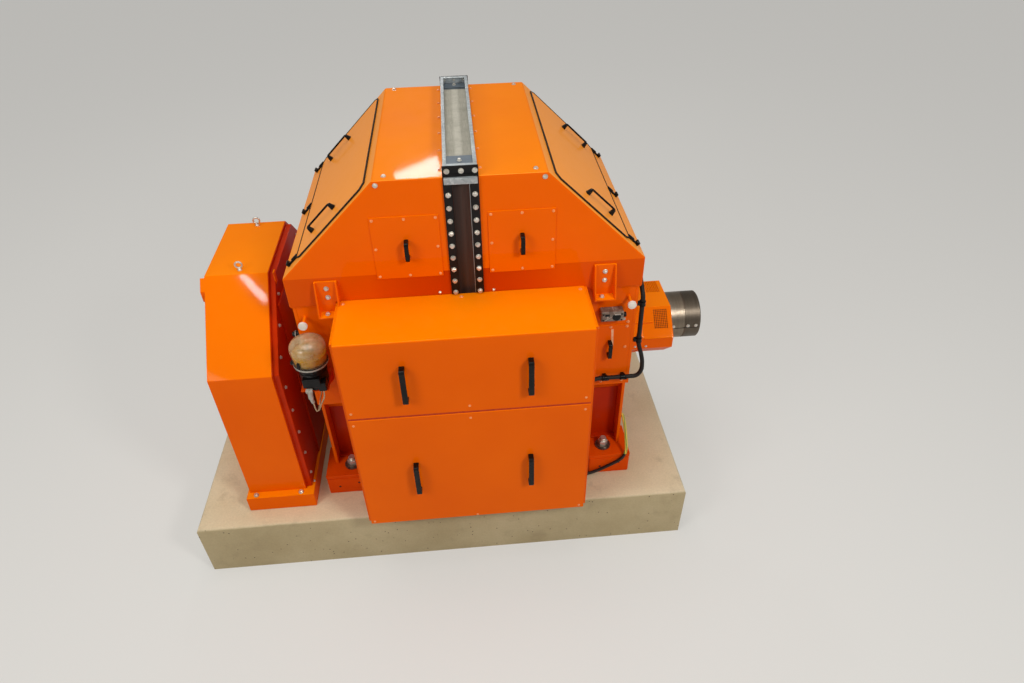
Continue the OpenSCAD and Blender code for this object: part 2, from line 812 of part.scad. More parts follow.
module coupling_sleeve() {
    x0 = drum_x1 - 60;
    color([0.70, 0.68, 0.64]) difference() {
        shaft_round(x0, sleeve_x1, sleeve_r);
        for (i = [0:coupling_holes - 1]) translate([sleeve_x1, 0, axis_z])
            rotate([i * 360 / coupling_holes, 0, 0]) translate([-coupling_hole_depth, 0, coupling_pcd / 2])
                rotate([0, 90, 0]) cylinder(h = coupling_hole_depth + 1, d = coupling_hole_d);
    }
}

module flywheel() {
    mid = -guard_off - guard_w / 2 - 6;
    color(STEEL) difference() {
        shaft_round(mid - flywheel_t / 2, mid + flywheel_t / 2, flywheel_d / 2);
        shaft_round(mid - flywheel_t, mid + flywheel_t, journal_r);
    }
}

concrete_plinth();
machine_feet();
anchor_bolts();
stator_frame();
end_plates();
bearing_housing_left();
bearing_housing_right();
hood_left();
hood_right();
slot_channel();
joint_flanges();
joint_bar();
top_frame();
top_frame_ends();
slope_covers();
slope_edgings();
slope_cover_clips();
slope_handles();
inspection_covers();
small_handles();
hood_brackets();
terminal_box();
terminal_cover_upper();
terminal_cover_lower();
terminal_handles();
cable_glands();
frame_access_cover();
junction_box();
sensor_caps();
loom_cable();
loom_clips();
earth_lead();
grease_reservoir();
grease_pump();
pump_bracket();
shaft_guard();
shaft_guard_grilles();
flywheel_guard_shell();
flywheel_guard_cover();
flywheel_guard_collar();
flywheel_guard_base();
lifting_eyes();
rotor_shaft();
coupling_sleeve();
flywheel();
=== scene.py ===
import bpy, bmesh, math
from mathutils import Matrix, Vector, noise


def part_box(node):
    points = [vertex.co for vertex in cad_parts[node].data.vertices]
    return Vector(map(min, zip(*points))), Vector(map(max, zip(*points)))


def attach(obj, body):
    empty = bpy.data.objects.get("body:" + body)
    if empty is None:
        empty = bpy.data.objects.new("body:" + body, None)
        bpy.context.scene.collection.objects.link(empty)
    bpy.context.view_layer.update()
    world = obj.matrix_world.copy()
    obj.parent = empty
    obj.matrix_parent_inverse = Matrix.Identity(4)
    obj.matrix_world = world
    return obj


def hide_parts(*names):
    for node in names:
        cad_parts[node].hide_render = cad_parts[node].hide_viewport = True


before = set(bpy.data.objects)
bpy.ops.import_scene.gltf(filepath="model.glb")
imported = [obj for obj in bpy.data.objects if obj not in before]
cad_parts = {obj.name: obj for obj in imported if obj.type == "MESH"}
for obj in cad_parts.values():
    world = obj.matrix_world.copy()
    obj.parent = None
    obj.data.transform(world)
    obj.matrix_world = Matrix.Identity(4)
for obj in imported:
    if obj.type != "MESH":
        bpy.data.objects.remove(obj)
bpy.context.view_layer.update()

# Camera
# The viewpoint is about three and a half metres in front of the shaft line and
# high above it, looking down at the machine with a wide lens.
focal_px, photo_width_px = 697.4, 1024
pitch, yaw, roll = math.radians(38.83), math.radians(4.30), math.radians(-1.18)
viewpoint = Vector((-0.002, -3.412, 3.713))
camera_data = bpy.data.cameras.new("viewpoint")
camera = bpy.data.objects.new("viewpoint", camera_data)
bpy.context.scene.collection.objects.link(camera)
bpy.context.scene.camera = camera
camera_data.sensor_width = 36.0
camera_data.lens = focal_px / photo_width_px * camera_data.sensor_width
camera_data.clip_end = 60
ahead = Vector((math.sin(yaw) * math.cos(pitch), math.cos(yaw) * math.cos(pitch), -math.sin(pitch)))
level = Vector((math.cos(yaw), -math.sin(yaw), 0))
upward = level.cross(ahead)
right = level * math.cos(roll) + upward * math.sin(roll)
above = upward * math.cos(roll) - level * math.sin(roll)
camera.matrix_world = Matrix.Translation(viewpoint) @ Matrix((right, above, -ahead)).transposed().to_4x4()


# Plinth
# Cast concrete block that the machine stands on. Struck from plain formwork,
# with a chamfered arris, small blow holes and a trowelled, slightly worn top.
class Signal:
    """One output of a finish's nodes. The usual operators add Math nodes."""

    def __init__(self, finish, socket):
        self.finish, self.socket = finish, socket

    def _math(self, operation, first, second):
        return self.finish.node("Math", {"operation": operation}, {0: first, 1: second})

    def __add__(self, other):
        return self._math("ADD", self, other)

    def __radd__(self, other):
        return self._math("ADD", other, self)

    def __sub__(self, other):
        return self._math("SUBTRACT", self, other)

    def __rsub__(self, other):
        return self._math("SUBTRACT", other, self)

    def __mul__(self, other):
        return self._math("MULTIPLY", self, other)

    def __rmul__(self, other):
        return self._math("MULTIPLY", other, self)

    def __gt__(self, other):
        return self._math("GREATER_THAN", self, other)

    def __lt__(self, other):
        return self._math("LESS_THAN", self, other)


class Finish:
    """A material with its shader, whose plain numbers are set on its own sockets."""

    def __init__(self, name, **plain):
        self.material = bpy.data.materials.new(name)
        self.material.use_nodes = True
        self.tree = self.material.node_tree
        self.tree.nodes.clear()
        self.shader = self.tree.nodes.new("ShaderNodeBsdfPrincipled")
        self.output = self.tree.nodes.new("ShaderNodeOutputMaterial")
        self.tree.links.new(self.shader.outputs[0], self.output.inputs[0])
        for socket, value in plain.items():
            self.shader.inputs[socket.replace("_", " ")].default_value = value
        self.place = self.node("TexCoord", {}, {}, "Object")

    def node(self, kind, settings, sockets, output=0):
        """Adds a node of a kind, sets it up, and gives one of its outputs."""
        made = self.tree.nodes.new("ShaderNode" + kind)
        for key, value in settings.items():
            setattr(made, key, value)
        for key, value in sockets.items():
            if isinstance(value, Signal):
                self.tree.links.new(value.socket, made.inputs[key])
            else:
                made.inputs[key].default_value = value
        return Signal(self, made.outputs[output])

    def grain(self, scale, detail=3.0, rough=0.5, place=None):
        """Cloudy noise, around 0.5."""
        return self.node("TexNoise", {}, {"Vector": place or self.place, "Scale": scale, "Detail": detail,
            "Roughness": rough})

    def stretched(self, scale):
        """The place, with its own scale along each axis."""
        return self.node("Mapping", {}, {"Vector": self.place, "Scale": scale})

    def ramp(self, signal, low, high):
        """0 below low, 1 above high, straight between them."""
        return self.node("MapRange", {"clamp": True}, {"Value": signal, "From Min": low, "From Max": high})

    def blend(self, mask, first, second):
        """The first colour where the mask is 0, the second where it is 1."""
        return self.node("Mix", {"data_type": "RGBA"}, {0: mask, 6: first, 7: second}, 2)

    def side(self, axis):
        """How far the surface faces along an axis, 0 for X, 1 for Y, 2 for Z."""
        facing = self.node("NewGeometry", {}, {}, "Normal")
        return self.node("SeparateXYZ", {}, {"Vector": facing}, axis)

    def along(self, axis):
        """The place along an axis, in metres."""
        return self.node("SeparateXYZ", {}, {"Vector": self.place}, axis)

    def wire(self, **links):
        """Links signals to the shader's sockets."""
        for socket, value in links.items():
            self.tree.links.new(value.socket, self.shader.inputs[socket.replace("_", " ")])

    def bump(self, height, strength, distance):
        """Roughens the surface with a signal."""
        self.wire(Normal=self.node("Bump", {},
            {"Strength": strength, "Distance": distance, "Height": height}))


def paint(*screen):
    """A screen colour, 0 to 255 each, as the linear colour that a shader wants."""
    linear = (((v / 255 + 0.055) / 1.055) ** 2.4 if v > 10 else v / 255 / 12.92 for v in screen)
    return (*linear, 1)


def bevelled(bm, edges, radius, segments):
    """Takes off some edges of a bmesh."""
    bmesh.ops.bevel(bm, geom=edges, offset=radius, offset_type="OFFSET", affect="EDGES", segments=segments,
        profile=0.5, material=-1, clamp_overlap=True)


def block(bm, low, high, radius=0.0, segments=2, edges=None, side=(1, 1)):
    """A box between two corners with rounded edges. A side of -1 mirrors it in X or in Y."""
    ends = [(x * side[0], y * side[1], z) for x, y, z in (low, high)]
    low, high = Vector(tuple(map(min, *ends))), Vector(tuple(map(max, *ends)))
    made = bmesh.ops.create_cube(bm, size=1.0)["verts"]
    bmesh.ops.scale(bm, vec=high - low, verts=made)
    bmesh.ops.translate(bm, vec=(low + high) / 2, verts=made)
    if radius > 0:
        bevelled(bm, list({e for v in made for e in v.link_edges if edges is None or edges(e)}), radius,
            segments)
    return made


def piece(name, bm, finish, replaced=(), sharp=35, weighted=True, body="generator"):
    """Turns a bmesh into a finished piece that rides on a body."""
    bmesh.ops.recalc_face_normals(bm, faces=bm.faces)
    for face in bm.faces:
        face.smooth = True
    for edge in bm.edges:
        edge.smooth = len(edge.link_faces) == 2 and edge.calc_face_angle(0) < math.radians(sharp)
    mesh = bpy.data.meshes.new(name)
    bm.to_mesh(mesh)
    bm.free()
    made = bpy.data.objects.new(name, mesh)
    bpy.context.scene.collection.objects.link(made)
    mesh.materials.append(finish.material)
    if weighted:
        even = made.modifiers.new("even", "WEIGHTED_NORMAL")
        even.keep_sharp = True
    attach(made, body)
    if replaced:
        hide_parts(*replaced)


concrete = Finish("cast_concrete", Roughness=0.85)
cloudy = concrete.ramp(concrete.grain(2.2, 5, 0.6), 0.3, 0.72)
speckle = concrete.ramp(concrete.grain(90, 3, 0.7), 0.35, 0.75)
stains = concrete.ramp(concrete.grain(6.5, 6, 0.65), 0.56, 0.74)
trowelled = concrete.ramp(concrete.side(2), 0.4, 0.9)
blow_holes = concrete.node("TexVoronoi", {}, {"Vector": concrete.place, "Scale": 26.0}, "Distance") < 0.10
thin_out = concrete.ramp(concrete.grain(9, 2, 0.5), 0.45, 0.49)
pits = blow_holes * thin_out * (1 - trowelled)
struck_face = concrete.blend(cloudy, paint(170, 153, 116), paint(192, 176, 140))
deck = concrete.blend(cloudy, paint(212, 194, 158), paint(226, 210, 178))
skin = concrete.blend(trowelled, struck_face, deck)
skin = concrete.blend(stains * 0.35, skin, paint(140, 124, 96))
skin = concrete.blend(speckle * 0.18, skin, paint(120, 108, 86))
skin = concrete.blend(pits * 0.9, skin, paint(64, 54, 38))
concrete.wire(Base_Color=skin, Roughness=0.88 - cloudy * 0.18 * trowelled)
concrete.bump(speckle * 0.5 + cloudy * 0.6 - pits * 3.0, 0.35, 0.002)

plinth_low, plinth_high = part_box("concrete_plinth")
arris = 0.014
strips = 24
wear_up, wear_out = 0.0016, 0.0012
bm = bmesh.new()
block(bm, plinth_low, plinth_high, arris, 2, lambda e: min(v.co.z for v in e.verts) > 0.1)
# cut into strips both ways, so that the top can be worn a little uneven
for step in range(1, strips):
    for axis in (0, 1):
        spot, facing = Vector((0, 0, 0)), Vector((0, 0, 0))
        spot[axis] = plinth_low[axis] + (plinth_high[axis] - plinth_low[axis]) * step / strips
        facing[axis] = 1
        bmesh.ops.bisect_plane(bm, geom=bm.verts[:] + bm.edges[:] + bm.faces[:], plane_co=spot,
            plane_no=facing)
for v in bm.verts:
    if v.co.z > 0.3:
        worn = noise.noise(v.co * 7)
        v.co.z = min(v.co.z + wear_up * worn - 0.001, plinth_high[2])
        v.co.y += wear_out * worn * (-1 if v.co.y > 0 else 1)
piece("plinth", bm, concrete, ["concrete_plinth"], sharp=50, weighted=False)


# Feet
# Four welded foot boxes: a block with a separate top plate, in a deeper red copy of the
# machine's orange that is painted shade, two small drain holes in the outer face, drawn as
# near-black discs of painted shade, on the concrete.
def two_tone(name, pattern, span, colours, shine=None, **plain):
    """A finish that drifts between two screen colours over noise of a scale, detail and roughness."""
    finish = Finish(name, **plain)
    drift = finish.ramp(finish.grain(*pattern), *span)
    finish.wire(Base_Color=finish.blend(drift, *(paint(*colour) for colour in colours)))
    if shine:
        finish.wire(Roughness=shine[0] + drift * shine[1])
    return finish


def runs_up(edge):
    """Whether an edge of a box stands upright."""
    return abs(edge.verts[0].co.z - edge.verts[1].co.z) > 0.02


def runs_level(edge):
    """Whether an edge of a box lies level."""
    return abs(edge.verts[0].co.z - edge.verts[1].co.z) < 0.001


def rod(bm, start, end, radius, sides=16, cap_bevel=0.0):
    """A round bar from one point to another."""
    start, end = Vector(start), Vector(end)
    turn = (end - start).to_track_quat("Z", "Y").to_matrix().to_4x4()
    made = bmesh.ops.create_cone(bm, cap_ends=True, segments=sides, radius1=radius, radius2=radius,
        depth=(end - start).length, matrix=Matrix.Translation((start + end) / 2) @ turn)["verts"]
    if cap_bevel > 0:
        rims = list({e for v in made for e in v.link_edges if e.calc_face_angle(0) > 1.2})
        bevelled(bm, rims, cap_bevel, 2)


# a deeper red copy of the machine's enamel: painted shade, for the feet and the pump shelf
shaded_enamel = two_tone("painted_shade_enamel", (4.3, 4, 0.6), (0.3, 0.75), ((218, 66, 2), (232, 84, 4)), (0.4, 0.2),
    Specular_IOR_Level=0.05, Specular_Tint=(1.0, 0.4, 0.16, 1), Coat_Weight=0.1, Coat_Roughness=0.1)
# near-black that stands for the depth of holes as painted shade, and for a dark split line
pitch_black = two_tone("drilled_hole", (120, 3, 0.6), (0.35, 0.7), ((10, 6, 5), (30, 16, 11)), Roughness=0.9)

corners = [(sx, sy) for sx in (-1, 1) for sy in (-1, 1)]
foot_low, foot_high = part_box("machine_feet")
foot_length, foot_depth, foot_plate_t, groove = 0.250, 0.238, 0.026, 0.003
foot_x, foot_y = foot_high[0] - foot_length, foot_high[1] - foot_depth
plate_z = foot_high[2] - foot_plate_t
drain_r, drain_z, drain_deep, drain_proud = 0.0065, 0.445, 0.004, 0.0006
bm = bmesh.new()
holes = bmesh.new()
for sx, sy in corners:
    block(bm, (foot_x, foot_y, foot_low[2]), (foot_high[0], foot_high[1], plate_z - groove), 0.012, 3,
        runs_up, (sx, sy))
    block(bm, (foot_x + groove, foot_y + groove, plate_z - groove),
        (foot_high[0] - groove, foot_high[1] - groove, plate_z), side=(sx, sy))
    block(bm, (foot_x, foot_y, plate_z), foot_high, 0.004, 2, side=(sx, sy))
    for dx in (-0.055, 0.06):
        spot = Vector((sx * (foot_high[0] - foot_length / 2) + dx, sy * foot_high[1], drain_z + dx * 0.2))
        rod(holes, spot - Vector((0, sy * drain_deep, 0)), spot + Vector((0, sy * drain_proud, 0)), drain_r,
            14)
piece("feet", bm, shaded_enamel, ["machine_feet"])
piece("foot_holes", holes, pitch_black, weighted=False)


# Anchor bolts
# Zinc-plated studs cast into the concrete, each with a thick plain washer, a
# spring washer and a hexagon nut that clamp a foot down.
zinc = Finish("zinc_plate", Roughness=0.36, Metallic=0.78)
smudge = zinc.ramp(zinc.grain(60, 4, 0.6), 0.35, 0.75)
tarnish = zinc.ramp(zinc.grain(21, 4, 0.6), 0.5, 0.75)
plating = zinc.blend(smudge, paint(206, 202, 192), paint(234, 231, 223))
plating = zinc.blend(tarnish * 0.35, plating, paint(140, 118, 88))
zinc.wire(Base_Color=plating, Roughness=0.28 + smudge * 0.22)
zinc.bump(zinc.grain(500, 2, 0.5), 0.15, 0.0004)
oiled = two_tone("oiled_steel", (44, 4, 0.6), (0.38, 0.7), ((150, 142, 132), (66, 58, 52)), (0.26, 0.25),
    Metallic=0.9)


def raised(place, height, spin=0.0):
    """A place moved out along its own Z and turned about it."""
    return place @ Matrix.Translation((0, 0, height)) @ Matrix.Rotation(spin, 4, "Z")


def stud(bm, place, radius, height, sides, bevel, segments):
    """A straight bar that stands on a place, with its top rim taken off."""
    made = bmesh.ops.create_cone(bm, cap_ends=True, segments=sides, radius1=radius, radius2=radius,
        depth=height, matrix=raised(place, height / 2))["verts"]
    if bevel > 0:
        inverse = place.inverted()
        rim = list({e for v in made for e in v.link_edges
            if all((inverse @ p.co).z > height * 0.9 for p in e.verts)})
        bevelled(bm, rim, bevel, segments)


def hexagon(bm, place, across, height, chamfer=0.12):
    """A hexagon nut or bolt head that stands on a place."""
    stud(bm, place, across / 2, height, 6, across * chamfer * 0.5, 1)


def disc(bm, place, radius, height, sides=24, bevel=0.0):
    """A flat round washer or cap that stands on a place."""
    stud(bm, place, radius, height, sides, bevel, 2)


bolt_in, bolt_back = 0.028, 0.032
thick_washer, spring_washer = (0.047, 0.009, 40, 0.002), (0.0385, 0.008, 36, 0.0015)
nut, stud_r, stud_down, stud_length = (0.058, 0.030), 0.018, 0.10, 0.165
thread_r, thread_pitch, thread_start = 0.0184, 0.0028, 0.050
bm = bmesh.new()
washers = bmesh.new()
for sx, sy in corners:
    seat = Matrix.Translation((sx * (foot_high[0] - foot_length / 2 - bolt_in),
        sy * (foot_high[1] - foot_depth / 2 + bolt_back), foot_high[2]))
    disc(washers, seat, *thick_washer)
    disc(washers, raised(seat, thick_washer[1]), *spring_washer)
    hexagon(bm, raised(seat, thick_washer[1] + spring_washer[1], 0.3 * sx), *nut)
    disc(bm, raised(seat, -stud_down), stud_r, stud_length, 24, 0.003)
    for turn in range(5):
        disc(bm, raised(seat, thread_start + turn * thread_pitch), thread_r, thread_pitch / 2)
piece("anchor_bolts", bm, zinc, ["anchor_bolts"])
piece("anchor_washers", washers, oiled)


# Stator frame
# Welded steel housing: folded panels over a round shell, closed by two thick
# end plates whose legs stand on the feet. Panel edges are rounded by the brake.
orange = Finish("orange_enamel", Specular_IOR_Level=0.02, Specular_Tint=(1.0, 0.45, 0.1, 1),
    Coat_Weight=0.12, Coat_Roughness=0.045)
patchy = orange.ramp(orange.grain(1.7, 3, 0.5), 0.3, 0.7)
up_face = orange.ramp(orange.side(2), 0.5, 0.98)
dust = orange.ramp(orange.grain(14, 5, 0.7), 0.45, 0.8) * up_face
enamel = orange.blend(patchy, paint(232, 94, 0), paint(240, 102, 0))
# upward faces are coloured a lighter, yellower orange: painted light from above
enamel = orange.blend(up_face, enamel, orange.blend(patchy, paint(244, 126, 0), paint(250, 134, 2)))
# the hood's slopes are coloured a paler orange: a painted reflection of the ceiling lights
leaning = orange.ramp(orange.side(2), 0.6, 0.66) * (1 - orange.ramp(orange.side(2), 0.76, 0.84))
painted_slope_sheen = leaning * orange.ramp(orange.along(2), 1.895, 1.905)
enamel = orange.blend(painted_slope_sheen * 0.62, enamel, paint(255, 176, 74))
# below the fold line the hood's front sheet is coloured darker and redder, most of all near its joint:
# painted shade above the terminal box
front_shade_band = (orange.side(1) < -0.9) * (orange.along(2) > 1.735) * (orange.along(2) < 1.897)
hood_sheet = orange.along(1) > -0.592
near_joint = orange.ramp(orange.along(0) * orange.along(0), 0.22, 0.0)
enamel = orange.blend(front_shade_band * hood_sheet * (0.45 + near_joint * 0.4), enamel, paint(184, 44, 0))
enamel = orange.blend(dust * 0.06, enamel, paint(214, 150, 60))
peel = orange.grain(420, 2, 0.5)
sheet_wave = orange.grain(5.5, 2, 0.5)
orange.wire(Base_Color=enamel, Roughness=0.38 + dust * 0.12 + patchy * 0.05)
orange.bump(peel * 0.25 + sheet_wave * 3.0, 0.25, 0.0012)
# a deeper red copy of the orange, painted shade for pieces that lie in recesses and shadow
shade_red_enamel = two_tone("painted_shade_red", (3.1, 4, 0.6), (0.3, 0.75), ((180, 38, 0), (200, 52, 0)), (0.4, 0.2),
    Specular_IOR_Level=0.05, Specular_Tint=(1.0, 0.4, 0.16, 1), Coat_Weight=0.12, Coat_Roughness=0.1)


def prism(bm, outline, along, start, length):
    """Extrudes a flat outline along X with (y, z) corners, along Y with (x, z), along Z with (x, y)."""
    corners = []
    for a, b in outline:
        spot = [a, b]
        spot.insert(along, start)
        corners.append(bm.verts.new(spot))
    base = bm.faces.new(corners)
    grown = bmesh.ops.extrude_face_region(bm, geom=[base])["geom"]
    shift = Vector((0, 0, 0))
    shift[along] = length
    moved = [g for g in grown if isinstance(g, bmesh.types.BMVert)]
    bmesh.ops.translate(bm, vec=shift, verts=moved)
    return corners + moved


def soften(bm, verts, radius, segments=2, edges=None):
    """Rounds the sharp edges of some geometry."""
    bevelled(bm, list({e for v in verts for e in v.link_edges if len(e.link_faces) == 2
        and e.calc_face_angle(0) > math.radians(25) and (edges is None or edges(e))}), radius, segments)


frame_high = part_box("stator_frame")[1]
inner_x, panel_y, hood_z = frame_high
shaft_z, skirt_z = 1.090, 1.070
panel_t, lip = 0.012, 0.030
barrel_r, hoop_r, hoop_w = 0.470, 0.492, 0.016
bm = bmesh.new()
for sy in (-1, 1):
    block(bm, (-inner_x, panel_y - panel_t, skirt_z), (inner_x, panel_y, hood_z), 0.004, 2, runs_level,
        (1, sy))
    block(bm, (-inner_x, panel_y - lip + 0.001, skirt_z), (inner_x, panel_y - 0.001, skirt_z + 0.008),
        side=(1, sy))
block(bm, (-inner_x + 0.01, -panel_y + panel_t, skirt_z + 0.012),
    (inner_x - 0.01, panel_y - panel_t, hood_z - 0.01))
rod(bm, (-inner_x, 0, shaft_z), (inner_x, 0, shaft_z), barrel_r, 96)
for x in (-0.62, -0.21, 0.21, 0.62):
    rod(bm, (x - hoop_w / 2, 0, shaft_z), (x + hoop_w / 2, 0, shaft_z), hoop_r, 96)
piece("stator_frame", bm, orange, ["stator_frame"])

plates_low, plates_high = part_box("end_plates")
face_x, plate_y, plate_top = plates_high
foot_top = plates_low[2]
end_plate_t = 0.018
leg_y, leg_w, arch_h = 0.520, 0.150, 0.190
leg_in = leg_y - leg_w
half_plate = [(leg_in - arch_h / 2, foot_top + arch_h), (leg_in, foot_top), (leg_y, foot_top),
    (leg_y, skirt_z),
    (plate_y, skirt_z), (plate_y, plate_top)]
bm = bmesh.new()
for start in (-face_x, face_x - end_plate_t):
    plate = prism(bm, half_plate + [(-y, z) for y, z in reversed(half_plate)], 0, start, end_plate_t)
    soften(bm, plate, 0.003, 2)
piece("end_plates", bm, orange, ["end_plates"])

# upright webs behind the legs, each on a small sole, in the painted-shade red
web_x, sole_x = face_x - end_plate_t - 0.175, face_x - 0.200
bm = bmesh.new()
for side in corners:
    block(bm, (web_x, 0.428, foot_top), (face_x - end_plate_t, 0.440, foot_top + 0.40), 0.003, 1, side=side)
    block(bm, (sole_x, 0.390, foot_top), (face_x - end_plate_t, 0.470, foot_top + 0.012), 0.003, 1, side=side)
piece("leg_webs", bm, shade_red_enamel)


# Bearings
# Two turned bearing housings bolted to the end plates, each with a flange, a
# ring of screws and a smaller cover where the shaft comes out.
def add(bm, part, place=Matrix()):
    """Moves a part into place and joins it to a larger bmesh."""
    bmesh.ops.transform(part, matrix=place, verts=part.verts[:])
    carrier = bpy.data.meshes.new("part")
    part.to_mesh(carrier)
    part.free()
    bm.from_mesh(carrier)
    bpy.data.meshes.remove(carrier)


def turned(bm, profile, axis, centre, sides=56):
    """Spins a profile, drawn as (x, z) points, about the X or the Z axis and sets it at a centre."""
    made = bmesh.new()
    spots = [made.verts.new((x, 0, z)) for x, z in profile]
    rims = [made.edges.new(pair) for pair in zip(spots, spots[1:])]
    bmesh.ops.spin(made, geom=spots + rims, cent=(0, 0, 0), axis=(1, 0, 0) if axis == "X" else (0, 0, 1),
        angle=math.tau, steps=sides, use_merge=True, use_duplicate=False)
    bmesh.ops.remove_doubles(made, verts=made.verts[:], dist=0.00001)
    bmesh.ops.recalc_face_normals(made, faces=made.faces)
    add(bm, made, Matrix.Translation(centre))


def stand(spot, out=(0, 0, 1)):
    """A place at a spot, whose Z points out of the face there."""
    turn = Vector((0, 0, 1)).rotation_difference(Vector(out))
    return Matrix.Translation(spot) @ turn.to_matrix().to_4x4()


def screw(bm, place, washer, head, spin=0.0, sunk=False):
    """A hexagon head on its washer, with disc's sizes in washer and hexagon's in head."""
    disc(bm, place, *washer)
    hexagon(bm, raised(place, 0 if sunk else washer[1], spin), *head)


def ring_of_bolts(bm, x, radius, count, across, height, phase=0.0):
    """Hexagon screws on a circle about the shaft, facing the flywheel."""
    for k in range(count):
        a = math.tau * (k + phase) / count
        place = stand((x, radius * math.sin(a), shaft_z + radius * math.cos(a)), (-1, 0, 0))
        screw(bm, place, (across * 0.62, height * 0.2, 16), (across, height))


left_low, left_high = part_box("bearing_housing_left")
right_low, right_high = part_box("bearing_housing_right")
on_shaft = (0, 0, shaft_z)
bore_r, flange_x = 0.0905, -0.900
nose, tail = left_low[0], right_high[0]
bm = bmesh.new()
turned(bm, [(nose, bore_r), (nose, 0.150), (nose + 0.006, 0.156), (nose + 0.024, 0.158),
    (nose + 0.028, 0.196),
    (nose + 0.034, 0.200), (flange_x - 0.004, 0.200), (flange_x, 0.206), (flange_x, 0.234),
    (flange_x + 0.006, 0.240),
    (left_high[0], 0.240), (left_high[0], bore_r), (nose, bore_r)], "X", on_shaft, 64)
turned(bm, [(tail, bore_r), (tail, 0.130), (tail - 0.006, 0.136), (tail - 0.030, 0.138),
    (tail - 0.036, 0.146),
    (right_low[0], 0.150), (right_low[0], bore_r), (tail, bore_r)], "X", on_shaft, 64)
piece("bearing_housings", bm, orange, ["bearing_housing_left", "bearing_housing_right"])
bm = bmesh.new()
ring_of_bolts(bm, flange_x, 0.222, 12, 0.024, 0.012)
ring_of_bolts(bm, nose + 0.028, 0.177, 8, 0.020, 0.010, 0.5)
piece("bearing_screws", bm, zinc)


# Hood
# Cooler and duct hood in two welded sheet halves that meet at a slot in the
# middle. Edges are folded, corners dressed, the whole sprayed glossy orange.
hood_low, hood_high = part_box("hood_right")
slot_x = hood_low[0]
hood_x, hood_y, hood_top = hood_high
fold_z, top_x = 1.900, 0.385
for side, name in ((-1, "hood_left"), (1, "hood_right")):
    bm = bmesh.new()
    outline = [(side * slot_x, hood_z), (side * hood_x, hood_z), (side * hood_x, fold_z),
        (side * top_x, hood_top), (side * slot_x, hood_top)]
    soften(bm, prism(bm, outline, 1, -hood_y, 2 * hood_y), 0.007, 4)
    # the lower rim is folded inwards and shows as a fine step over the frame
    block(bm, (slot_x + 0.01, -hood_y + 0.004, hood_z - 0.004),
        (hood_x - 0.004, hood_y - 0.004, hood_z + 0.002),
        0.0015, 1, side=(side, 1))
    piece(name + "_shell", bm, orange, [name])

# small screws along both sides of the roof slot, sprayed over; their pale orange is a painted highlight
highlight_orange = two_tone("highlight_orange", (150, 3, 0.6), (0.4, 0.7), ((238, 138, 70), (244, 176, 118)),
    (0.3, 0.2))
slot_screw_x, slot_screw_y, slot_screw_pitch = 0.090, -0.515, 0.205
bm = bmesh.new()
for sx in (-1, 1):
    for k in range(6):
        place = stand((sx * slot_screw_x, slot_screw_y + k * slot_screw_pitch, hood_top))
        screw(bm, place, (0.0078, 0.0015, 20), (0.0125, 0.006), 0.4 * k, sunk=True)
piece("roof_screws", bm, highlight_orange)

# screw plugs that close the lifting holes at the corners of the roof
plug_washer, plug_head = (0.0118, 0.0025, 28, 0.001), (0.017, 0.008)
bm = bmesh.new()
for sx, sy in corners:
    screw(bm, stand((sx * 0.335, sy * 0.550, hood_top)), plug_washer, plug_head, sunk=True)
    screw(bm, stand((sx * 0.372, sy * hood_y, hood_top - 0.022), (0, sy, 0)), plug_washer, plug_head,
        sunk=True)
piece("roof_plugs", bm, zinc)


# Centre joint
# Where the hood halves meet: a recessed dark channel between two black bolted
# flanges, a plain steel bar across its top, and bright hexagon screws.
primer = Finish("brown_primer")
brushed = primer.ramp(primer.grain(1.0, 4, 0.6, primer.stretched((60, 60, 4))), 0.3, 0.75)
towards_right = primer.ramp(primer.along(0), -0.020, 0.040)
sheen = primer.blend(towards_right, paint(38, 24, 20), paint(92, 62, 50))
primer.wire(Base_Color=primer.blend(brushed * 0.5, sheen, paint(66, 40, 30)), Roughness=0.45 + brushed * 0.25)
primer.bump(brushed, 0.2, 0.0006)
black = two_tone("black_enamel", (30, 4, 0.6), (0.4, 0.8), ((10, 8, 9), (26, 22, 21)), (0.34, 0.2),
    Specular_IOR_Level=0.25)
black.bump(black.grain(600, 2, 0.5), 0.12, 0.0004)

channel_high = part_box("slot_channel")[1]
channel_x, channel_y, channel_top = channel_high
channel_t = 0.004
bm = bmesh.new()
for sy in (-1, 1):
    block(bm, (-channel_x, channel_y - channel_t, hood_z), channel_high, 0.001, 1, side=(1, sy))
    for sx in (-1, 1):
        block(bm, (channel_x - channel_t, channel_y, hood_z), (channel_x, hood_y - 0.002, channel_top - 0.01),
            0.001, 1, side=(sx, sy))
block(bm, (-channel_x, -channel_y + channel_t, hood_z), (channel_x, channel_y - channel_t, channel_top))
piece("slot_channel_sheet", bm, primer, ["slot_channel"])

flange_low, flange_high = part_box("joint_flanges")
flange_x0, flange_x1, flange_t = 0.040, flange_high[0], 0.010
flange_foot = flange_low[2] + 0.03
bm = bmesh.new()
for sx in (-1, 1):
    for sy, foot_z in ((-1, flange_foot), (1, hood_z)):
        block(bm, (flange_x0, hood_y, foot_z), (flange_x1, hood_y + flange_t, flange_high[2]), 0.0015, 2,
            side=(sx, sy))
# black backing between the flanges and the roof frame's end plate
for sy in (-1, 1):
    block(bm, (-flange_x1, hood_y, flange_high[2] - 0.004), (flange_x1, hood_y + 0.0025, hood_top + 0.012),
        side=(1, sy))
piece("joint_flange_strips", bm, black, ["joint_flanges"])

screw_pitch, first_screw = 0.0645, flange_high[2] - 0.052
bm = bmesh.new()
for sx, sy in corners:
    for k in range(9):
        place = stand((sx * (flange_x0 + flange_x1) / 2, sy * (hood_y + flange_t),
            first_screw - k * screw_pitch),
            (0, sy, 0))
        screw(bm, place, (0.0124, 0.0022), (0.0200, 0.0095, 0.16), k * 0.7 + sx)
# two more beside the flanges, close above the terminal box
for x, z in ((-0.136, 1.774), (0.126, 1.770)):
    screw(bm, stand((x, -hood_y, z), (0, -1, 0)), (0.0078, 0.0015), (0.0120, 0.006, 0.16))
piece("joint_screws", bm, zinc)

